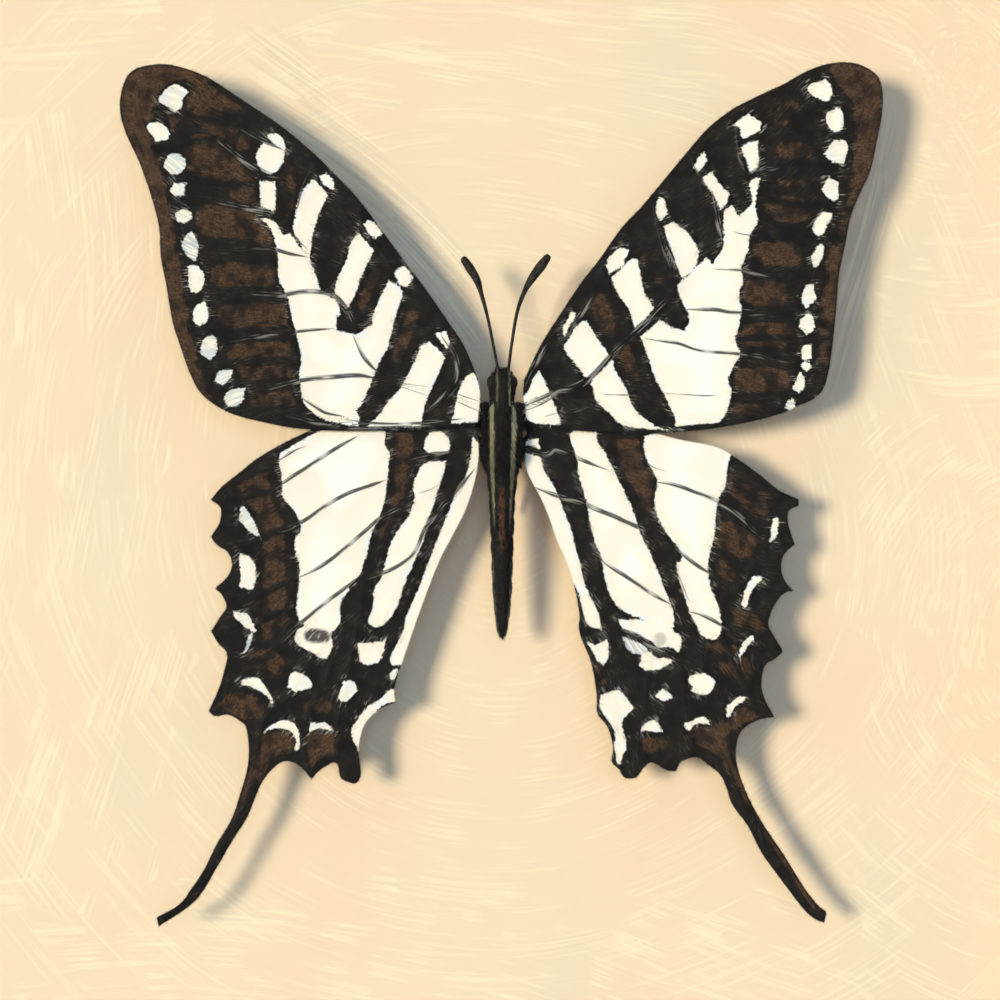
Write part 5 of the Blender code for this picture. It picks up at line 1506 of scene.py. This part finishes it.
# %% Patterns of the scales
scales = Finish("wing_scales")
place = scales.place()
out, turn, _ = scales.split(scales.attribute("fan", "Vector"))
wander = scales.noise(place, (0.22, 0.22, 0.22), 0.0)
rays = scales.joined(out, turn + (wander - 0.5) * 2.2)
pale, cool, brown, rib, rim = (scales.attribute(name) for name in ("pale", "cool", "brown", "rib", "rim"))
smoke, ashen = scales.attribute("smoke"), scales.attribute("ashen")
along, side, half = scales.split(scales.attribute("vein", "Vector"))
streak = scales.noise(rays, (0.5, 5.0, 1.0), 1.0, 0.6)
fine = scales.noise(rays, (1.0, 10.0, 1.0), 2.0, 0.65)
cloud = scales.noise(place, (0.8, 0.8, 0.8), 1.0)
ragged = scales.noise(place, (4.5, 4.5, 4.5), 2.0, 0.6)
margin = scales.noise(scales.joined(rim * 4.0 + cloud * 2.0, turn * 1.3), detail=2.0)

# %% Black and brown scales
ground = scales.mix(cloud.rise(0.34, 0.62) * fine.rise(0.38, 0.62), BLACK, SOOT)
ground = scales.mix(fine.rise(0.60, 0.70) * cloud.rise(0.48, 0.62) * 0.6, ground, HAIRLINE)
on_rim = (brown - 1.25).rise(0.0, 0.5)
between_ribs = (rib.rise(0.16, 0.52) * (0.0 - pale).rise(0.04, 0.42)).above(on_rim)
spread = brown.below(1.2) + (cloud - 0.5) * 0.7 + (streak - 0.5) * 1.1
brown_share = spread.rise(0.34, 0.74) * between_ribs
grain = fine * 0.5 + ragged * 0.5
dry_brown = scales.mix(cloud.rise(0.34, 0.60), BROWN, WARM_BROWN)
rim_share = on_rim * margin.rise(0.30, 0.56) * (1.1 - wander.rise(0.4, 0.6) * 0.5)
light_flecks = grain.rise(0.50, 0.64) * (0.15 + cloud.rise(0.42, 0.60) * 0.6)
black_flecks = (1.0 - grain).rise(0.50, 0.62) * (0.80 - on_rim * 0.15)
dry_brown = scales.mix(rim_share, dry_brown, RIM_BROWN)
dry_brown = scales.mix(light_flecks, dry_brown, LIGHT_BROWN)
dry_brown = scales.mix(black_flecks, dry_brown, BLACK)
dry_brown = scales.mix((1.0 - cloud).rise(0.46, 0.66) * 0.45, dry_brown, BLACK)
ground = scales.mix(brown_share * 0.95, ground, dry_brown)
ground = scales.mix(rim.fall(0.02, 0.26) * 0.8, ground, BLACK)

# %% Pale scales
edge = pale + (ragged - 0.5) * 0.42 + (fine - 0.5) * 0.36
pale_share = edge.rise(-0.05, 0.05)
dragged = edge.rise(-0.75, -0.1) * (1.0 - pale_share) * cloud.rise(0.50, 0.60) * fine.rise(0.54, 0.64)
ground = scales.mix(dragged * 0.8, ground, SMUDGE)
near_edge = edge.fall(0.1, 0.7)
# The middle of each pale mark is painted whiter, as a painted highlight.
painted_highlight = pale.rise(0.3, 1.9) * wander.rise(0.42, 0.58)
cream = scales.mix(painted_highlight, SCALE_CREAM, PAINTED_HIGHLIGHT_WHITE)
cream = scales.mix(streak.rise(0.58, 0.74) * 0.35, cream, SHADED_CREAM)
cream = scales.mix(near_edge * (1.0 - cloud).rise(0.50, 0.60) * 0.6, cream, COLD_WHITE)
cream = scales.mix(near_edge * fine.rise(0.53, 0.62) * cloud.rise(0.50, 0.60) * 0.7, cream, SMUDGE)
cream = scales.mix((cool - 0.2) * (1.0 - streak).rise(0.40, 0.56), cream, BLUE_GREY)
cream = scales.mix(smoke * fine.rise(0.25, 0.48), cream, SMOKE_GREY)
colour = scales.mix(pale_share, ground, cream)

# %% Veins and the relief of the scales
strands = scales.noise(scales.joined(along * 0.4, side * 5.0), detail=1.0)
inside_vein = half - abs(side) + (strands - 0.5) * 0.24 - rib.rise(0.34, 0.46)
dark_strands = (inside_vein - half * 0.25).rise(-0.05, 0.05) * strands.rise(0.34, 0.48)
wide_enough = half.rise(0.02, 0.2)
feather = (inside_vein + 0.1).rise(0.0, 0.12) * wide_enough * (1.0 - strands).rise(0.35, 0.60) * 0.5
light_strands = inside_vein.rise(-0.12, 0.05) * strands.rise(0.52, 0.64) * wide_enough
colour = scales.mix(pale_share * feather, colour, SMUDGE)
ink = scales.mix(pale_share, VEIN_LIGHT, VEIN_DARK)
colour = scales.mix(scales.mix(pale_share, light_strands * 0.8, dark_strands * 0.92), colour, ink)
colour = scales.mix(ashen.rise(0.2, 0.9), colour, ASHEN)
scale_rows = scales.noise(rays, (9.0, 14.0, 1.0), 0.0)
relief = scale_rows * (1.0 - pale_share * 0.75)
scales.put(Base_Color=colour, Roughness=0.66 + scale_rows * 0.2, Normal=scales.bump(relief, 0.012, 0.5),
           Specular_IOR_Level=0.10)
for wing, piece in wings.items():
    keep(piece, "wing_scales", scales.material, wing)

# %% [markdown]
# The body
#
# Head, thorax and abdomen grew as one, so they are one mesh. It starts as a disc at the top of the head,
# which is extruded down the body and made wider or narrower at each of some sixty rings. The abdomen's
# rings are pinched at the joints between its segments. Hair covers the outside on the real insect, so the
# bare core is slimmer than the solid, and the hair fills it up.
#
# Eyes, mouth palps and the folded legs are joined to it. A leg is a smooth line through its joints with a
# thickness at each, turned into a mesh.

# %% The bare body
BODY_ACROSS = 0.2
BODY_HEIGHT = 5.9
BODY_SIDES = 36
RING_STEP = 0.4
BODY_RINGS = np.array([
    (11.95, 0.35, 0.5), (11.6, 0.95, 1.15), (10.9, 1.25, 1.45), (10.1, 1.3, 1.5), (9.4, 1.15, 1.3),
    (8.9, 1.25, 1.5), (8.2, 1.6, 2.0), (7.0, 1.85, 2.3), (5.4, 1.9, 2.35), (4.0, 1.75, 2.1),
    (2.8, 1.5, 1.6), (1.6, 1.4, 1.45), (0.0, 1.25, 1.5), (-2.0, 1.18, 1.45), (-4.5, 1.1, 1.35),
    (-7.0, 1.02, 1.2), (-9.2, 0.85, 1.0), (-11.0, 0.62, 0.75), (-12.2, 0.38, 0.45), (-12.65, 0.16, 0.2)])
# The share of the solid's width that is left for the bare core, at heights from tail to head.
CORE_AT = (-12.0, -6.0, 0.0, 3.0, 5.0, 8.0, 9.5)
CORE_SHARE = (0.93, 0.86, 0.90, 0.92, 0.84, 0.80, 0.9)
WAIST = 2.4
SEGMENT = 1.9
PINCH = 0.09
PINCH_WIDTH = 0.3
body_y = BOARD_MM - BODY_HEIGHT


def bare_rings():
    """Up the picture, half the width and half the depth of the bare body, from head to tail."""
    ups = np.arange(BODY_RINGS[0, 0], BODY_RINGS[-1, 0], -RING_STEP)
    ups = np.append(ups, BODY_RINGS[-1, 0])
    wide, deep = [np.interp(-ups, -BODY_RINGS[:, 0], BODY_RINGS[:, axis]) for axis in (1, 2)]
    bare = np.interp(ups, CORE_AT, CORE_SHARE)
    since_joint = (WAIST - ups) % SEGMENT
    joint = np.minimum(since_joint, SEGMENT - since_joint)
    pinch = 1.0 - PINCH * np.exp(-(joint / PINCH_WIDTH) ** 2) * (ups < WAIST)
    return np.column_stack([ups, wide * bare * pinch, deep * bare * pinch])


rings = bare_rings()
bpy.ops.mesh.primitive_circle_add(vertices=BODY_SIDES, radius=1.0, fill_type="NGON",
                                  location=at(BODY_ACROSS, body_y, rings[0, 0]))
body = named("butterfly_body")
body.scale = (rings[0, 1] * MM, rings[0, 2] * MM, 1.0)
settle(body)
edit_all(body)
for (up, wide, deep), (next_up, next_wide, next_deep) in zip(rings, rings[1:]):
    bpy.ops.mesh.extrude_region_move(TRANSFORM_OT_translate={"value": (0.0, 0.0, (next_up - up) * MM)})
    bpy.ops.transform.resize(value=(next_wide / wide, next_deep / deep, 1.0),
                             center_override=at(BODY_ACROSS, body_y, next_up))
bpy.ops.mesh.select_all(action="SELECT")
bpy.ops.mesh.normals_make_consistent(inside=False)
bpy.ops.object.mode_set(mode="OBJECT")
settle(body, SOFT)
print("bare body:", len(body.data.vertices), "corners")


# %% Balls and tubes
def add_ball(name, across, back, up, radii, segments=28):
    """A ball whose place and three radii are in millimetres about the middle of the picture."""
    bpy.ops.mesh.primitive_uv_sphere_add(segments=segments, ring_count=segments // 2, radius=1.0)
    made = named(name)
    made.location = at(across, back, up)
    made.scale = [radius * MM for radius in radii]
    settle(made, ROUND)
    return made


def add_tube(name, spots, rounds, smooth):
    """A tube through places with a radius at each, in millimetres: across, back, up, radius."""
    bpy.ops.curve.primitive_bezier_curve_add()
    made = named(name)
    points = made.data.splines[0].bezier_points
    points.add(len(spots) - len(points))
    for point, (across, back, up, radius) in zip(points, spots):
        point.co = at(across, back, up)
        point.handle_left_type = "AUTO"
        point.handle_right_type = "AUTO"
        point.radius = radius * MM
    made.data.bevel_depth = 1.0
    made.data.bevel_resolution = rounds
    made.data.resolution_u = smooth
    made.data.use_fill_caps = True
    pick(made)
    bpy.ops.object.convert(target="MESH")
    settle(made, SOFT)
    return made


# %% Eyes, palps and legs
# Out from the body's middle, up the picture, height above the board and radius at each joint of a leg.
LEGS = [
    [(0.9, 8.3, 4.4, 0.34), (2.6, 8.7, 3.1, 0.26), (1.3, 6.9, 2.4, 0.2), (0.7, 5.5, 2.1, 0.14)],
    [(1.1, 6.6, 4.3, 0.36), (3.0, 7.0, 2.7, 0.28), (1.5, 4.8, 2.2, 0.2), (0.8, 2.4, 2.0, 0.14)],
    [(1.0, 4.8, 4.4, 0.36), (2.0, 5.4, 2.9, 0.28), (1.05, 2.2, 2.4, 0.2), (0.5, -0.9, 2.2, 0.14)],
]
LEG_SLIM = 0.9
# Out, up, and the three radii.
EYE = (0.92, 10.75, (0.5, 0.70, 0.70))
PALP = (0.42, 11.7, (0.2, 0.45, 0.38))
soft_parts = [body]
eyes = []
for hand in (-1, 1):
    eyes.append(add_ball("eye", BODY_ACROSS + hand * EYE[0], body_y, EYE[1], EYE[2]))
    soft_parts.append(add_ball("palp", BODY_ACROSS + hand * PALP[0], body_y, PALP[1], PALP[2], 16))
    for joints in LEGS:
        spots = [(BODY_ACROSS + hand * out, BOARD_MM - high, up, radius * LEG_SLIM)
                 for out, up, high, radius in joints]
        soft_parts.append(add_tube("leg", spots, 4, 10))
pick(*soft_parts)
bpy.ops.object.join()
print("body with legs:", len(body.data.polygons), "faces")

# %% [markdown]
# Hair on the body
#
# Hairs grow from random places on the skin, closer together on the thorax, and lean towards the tail.
# A tuft on each side lies over the roots of the wings. Each hair's colour is that of the skin it grows on,
# so the stripes of the body are worked out from where the roots are: two olive stripes down the back that
# fade towards the tail, a brown streak between them, and an ashy line along each side of the abdomen.


# %% Growing hair
def skin_samples(thing, count, chance):
    """Random places on a mesh, with the way the skin faces there."""
    thing.data.calc_loop_triangles()
    triangles = np.empty(len(thing.data.loop_triangles) * 3, np.int32)
    thing.data.loop_triangles.foreach_get("vertices", triangles)
    # A joined mesh can have its faces in another order in the next run, so they are sorted by their places.
    spots, number = np.unique(corners(thing), axis=0, return_inverse=True)
    faces = number.ravel()[triangles.reshape(-1, 3)]
    first = faces.argmin(axis=1)[:, None]
    faces = np.take_along_axis(faces, (first + np.arange(3)) % 3, axis=1)
    faces = faces[np.lexsort(faces.T)]
    a, b, c = (spots[faces[:, k]] for k in range(3))
    normal = np.cross(b - a, c - a)
    area = np.linalg.norm(normal, axis=1)
    area[area == 0] = 1e-12
    chosen = chance.choice(len(area), count, p=area / area.sum())
    one, two = chance.uniform(size=(2, count, 1))
    flip = one + two > 1
    one, two = np.where(flip, 1 - one, one), np.where(flip, 1 - two, two)
    places = a[chosen] + (b[chosen] - a[chosen]) * one + (c[chosen] - a[chosen]) * two
    return places / MM, normal[chosen] / area[chosen, None]


# %% Stripes of the body
NECK = 8.8


def stripe(across, middle, width, strength):
    """A stripe down the body, with soft sides."""
    return (strength - np.abs(across - middle) / width).clip(0, 1)


def body_colours(places):
    """How olive, rusty and ashy the body is at these places."""
    across, up = places[:, 0], places[:, 2] - UP_MM
    front = places[:, 1] < body_y + 0.2
    left = np.interp(up, (-2.0, 0.7, 4.0, 8.6), (-0.50, -0.62, -0.70, -0.72))
    right = np.interp(up, (-3.0, 1.7, 4.0, 8.6), (0.85, 1.08, 1.15, 1.28))
    wide = np.interp(up, (-4.0, 1.0, 2.5), (0.4, 0.6, 1.0))
    reach = (up < NECK) * slope(up, -4.5, 1.5) * front
    stripes = np.maximum(stripe(across, left, wide * 0.13, 1.6), stripe(across, right, wide * 0.15, 1.6))
    olive = stripes * reach
    head = (up >= NECK) & (up < 11.6) & front
    thin = np.maximum(stripe(across, -0.25, 0.1, 1.5), stripe(across, 0.85, 0.1, 1.5))
    olive = np.maximum(olive, thin * head * 0.35)
    rust = stripe(across, 0.18, 0.36, 1.3) * front * slope(up, -5.5, -4.0) * slope(-up, -1.8, -1.0)
    edge = np.abs(across - BODY_ACROSS) / np.interp(-up, -BODY_RINGS[:, 0], BODY_RINGS[:, 1])
    ash = slope(edge, 0.55, 0.8) * slope(-up, 4.5, 6.0)
    return {"olive": olive, "rust": rust, "ash": ash}


# %% The coat and the tufts
HAIRS = 14900
HAIR_RADIUS = 0.022
HAIR_LENGTH = 0.30
THORAX_LONGER = 0.26
CROWN = 11.3
TUFT = 1450
TUFT_RADIUS = 0.024
roots, facing = skin_samples(body, HAIRS, chance)
up = roots[:, 2] - UP_MM
thorax = slope(up, 1.5, 3.5) * slope(-up, -9.6, -8.6)
reach = (HAIR_LENGTH + THORAX_LONGER * thorax)[:, None] * chance.uniform(0.7, 1.25, (HAIRS, 1))
tailwards = np.column_stack([np.zeros(HAIRS), np.zeros(HAIRS), np.where(up > CROWN, 0.7, -0.9)])
lean = facing * 0.36 + tailwards + chance.normal(0.0, 0.12, (HAIRS, 3))
lean /= np.linalg.norm(lean, axis=1, keepdims=True)
coat = hair_mesh("coat", roots, roots + lean * reach, HAIR_RADIUS, chance.uniform(0, 2, HAIRS))
for name, values in body_colours(roots).items():
    write_attribute(coat, name, np.repeat(values, HAIR_CORNERS))
tufts = [coat]
for hand in (-1, 1):
    root = np.column_stack([BODY_ACROSS + hand * chance.uniform(1.2, 1.65, TUFT),
                            body_y + chance.uniform(-1.1, 0.2, TUFT),
                            UP_MM + chance.uniform(3.8, 9.0, TUFT)])
    way = np.column_stack([hand * chance.uniform(0.1, 0.5, TUFT), chance.normal(-0.02, 0.12, TUFT),
                           chance.normal(-0.35, 0.25, TUFT)])
    tufts.append(hair_mesh("tuft", root, root + way, TUFT_RADIUS, chance.uniform(0, 2, TUFT)))
for name, values in body_colours(corners(body) / MM).items():
    write_attribute(body, name, values)

# %% Finishes of the body
FUR_TONES = ((0.0040, 0.0037, 0.0033), (0.018, 0.015, 0.012))
RUST_HAIR = (0.088, 0.041, 0.018)
ASH_HAIR = (0.17, 0.165, 0.125)
# The right stripe lies in the body's shade, so its hairs are painted lighter against that shade. Both end
# in the last tone.
OLIVE_LEFT = (0.33, 0.295, 0.165)
OLIVE_RIGHT_PAINTED_LIGHT = (0.48, 0.42, 0.235)
OLIVE_END = (0.045, 0.040, 0.026)
EYE_TONES = ((0.006, 0.005, 0.004), (0.014, 0.010, 0.007))
fur = Finish("body_hair")
place = fur.place()
olive, rust, ash = (fur.attribute(name) for name in ("olive", "rust", "ash"))
grain = fur.noise(place, (5.0, 5.0, 1.3), 3.0, 0.6)
across, _, up = fur.split(place)
on_right = across.rise(0.0, 0.5)
fading = (up - UP_MM).fall(2.0, 7.5) * (0.4 + on_right * 0.3)
# On the right the olive is painted lighter, against the body's shade.
olive_hair = fur.mix(fading, fur.mix(on_right, OLIVE_LEFT, OLIVE_RIGHT_PAINTED_LIGHT), OLIVE_END)
colour = fur.mix(grain.rise(0.3, 0.7), *FUR_TONES)
colour = fur.mix(rust.rise(0.2, 0.9) * grain.rise(0.36, 0.60), colour, RUST_HAIR)
colour = fur.mix(ash.rise(0.2, 0.9) * grain.rise(0.40, 0.60) * 0.8, colour, ASH_HAIR)
colour = fur.mix(olive.rise(0.1, 0.6) * grain.rise(0.20, 0.44), colour, olive_hair)
fur.put(Base_Color=colour, Roughness=0.6 + grain * 0.3, Specular_IOR_Level=0.12)
eye_glaze = Finish("compound_eye")
facets = eye_glaze.cells(eye_glaze.place(), (26.0, 26.0, 26.0))
tint = eye_glaze.noise(eye_glaze.place(), (1.5, 1.5, 1.5), 2.0)
eye_glaze.put(Base_Color=eye_glaze.mix(tint, *EYE_TONES), Specular_IOR_Level=0.15,
              Roughness=0.45 + facets * 0.3, Normal=eye_glaze.bump(1.0 - facets, 0.02, 0.5))
for part in eyes:
    part.data.materials.append(eye_glaze.material)
for part in tufts + [body]:
    part.data.materials.append(fur.material)
pick(body, *tufts, *eyes)
bpy.ops.object.join()
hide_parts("body")
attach(body, "root")
print("body has", len(body.data.polygons), "faces")

# %% [markdown]
# The antennae
#
# An antenna is a thread of some thirty rings that ends in a club. The thread is a tube through a smooth
# line of a few points, with a radius that swells and shrinks a little at every ring.

# %% Antennae
ANTENNA_HEIGHT = 6.6
ANTENNA_RING = 0.36
ANTENNA_STEP = 0.03
ANTENNAE = {
    "antenna_left": [(-0.15, 11.75, 0.15), (-0.6, 14.1, 0.14), (-1.2, 17.0, 0.16), (-1.75, 19.0, 0.22),
                     (-2.1, 20.1, 0.36), (-2.75, 21.2, 0.44), (-3.3, 22.0, 0.36), (-3.5, 22.25, 0.18)],
    "antenna_right": [(0.75, 11.75, 0.15), (1.05, 14.1, 0.15), (1.6, 17.3, 0.17), (2.3, 19.2, 0.24),
                      (2.95, 20.3, 0.4), (3.75, 21.4, 0.48), (4.35, 22.2, 0.36), (4.55, 22.45, 0.18)],
}
HORN_TONES = ((0.006, 0.0055, 0.005), (0.034, 0.028, 0.022))
horn = Finish("antenna_horn")
place = horn.place()
dust = horn.noise(place, (2.0, 2.0, 2.0), 3.0, 0.6)
horn.put(Base_Color=horn.mix(dust.rise(0.4, 0.7), *HORN_TONES), Roughness=0.55 + dust * 0.25,
         Normal=horn.bump(horn.noise(place, (6.0, 6.0, 6.0), 2.0), 0.05, 0.8), Specular_IOR_Level=0.15)
for solid, knots in ANTENNAE.items():
    line = line_through([number for x, z, _ in knots for number in (x, z)], ANTENNA_STEP)
    gone = travelled(line)
    at_knots = [near(line, np.array([(x, z)]))[1][0] for x, z, _ in knots]
    steps = np.arange(0.0, gone[-1], ANTENNA_RING / 4)
    thick = np.interp(steps, at_knots, [radius for _, _, radius in knots])
    thick *= 0.97 + 0.05 * np.cos(steps * math.tau / ANTENNA_RING)
    places = [np.interp(steps, gone, line[:, axis]) for axis in (0, 1)]
    spots = [(x, BOARD_MM - ANTENNA_HEIGHT, z, radius) for x, z, radius in zip(*places, thick)]
    made = add_tube(solid.replace("antenna", "feeler"), spots, 5, 2)
    keep(made, "antenna_horn", horn.material, solid)
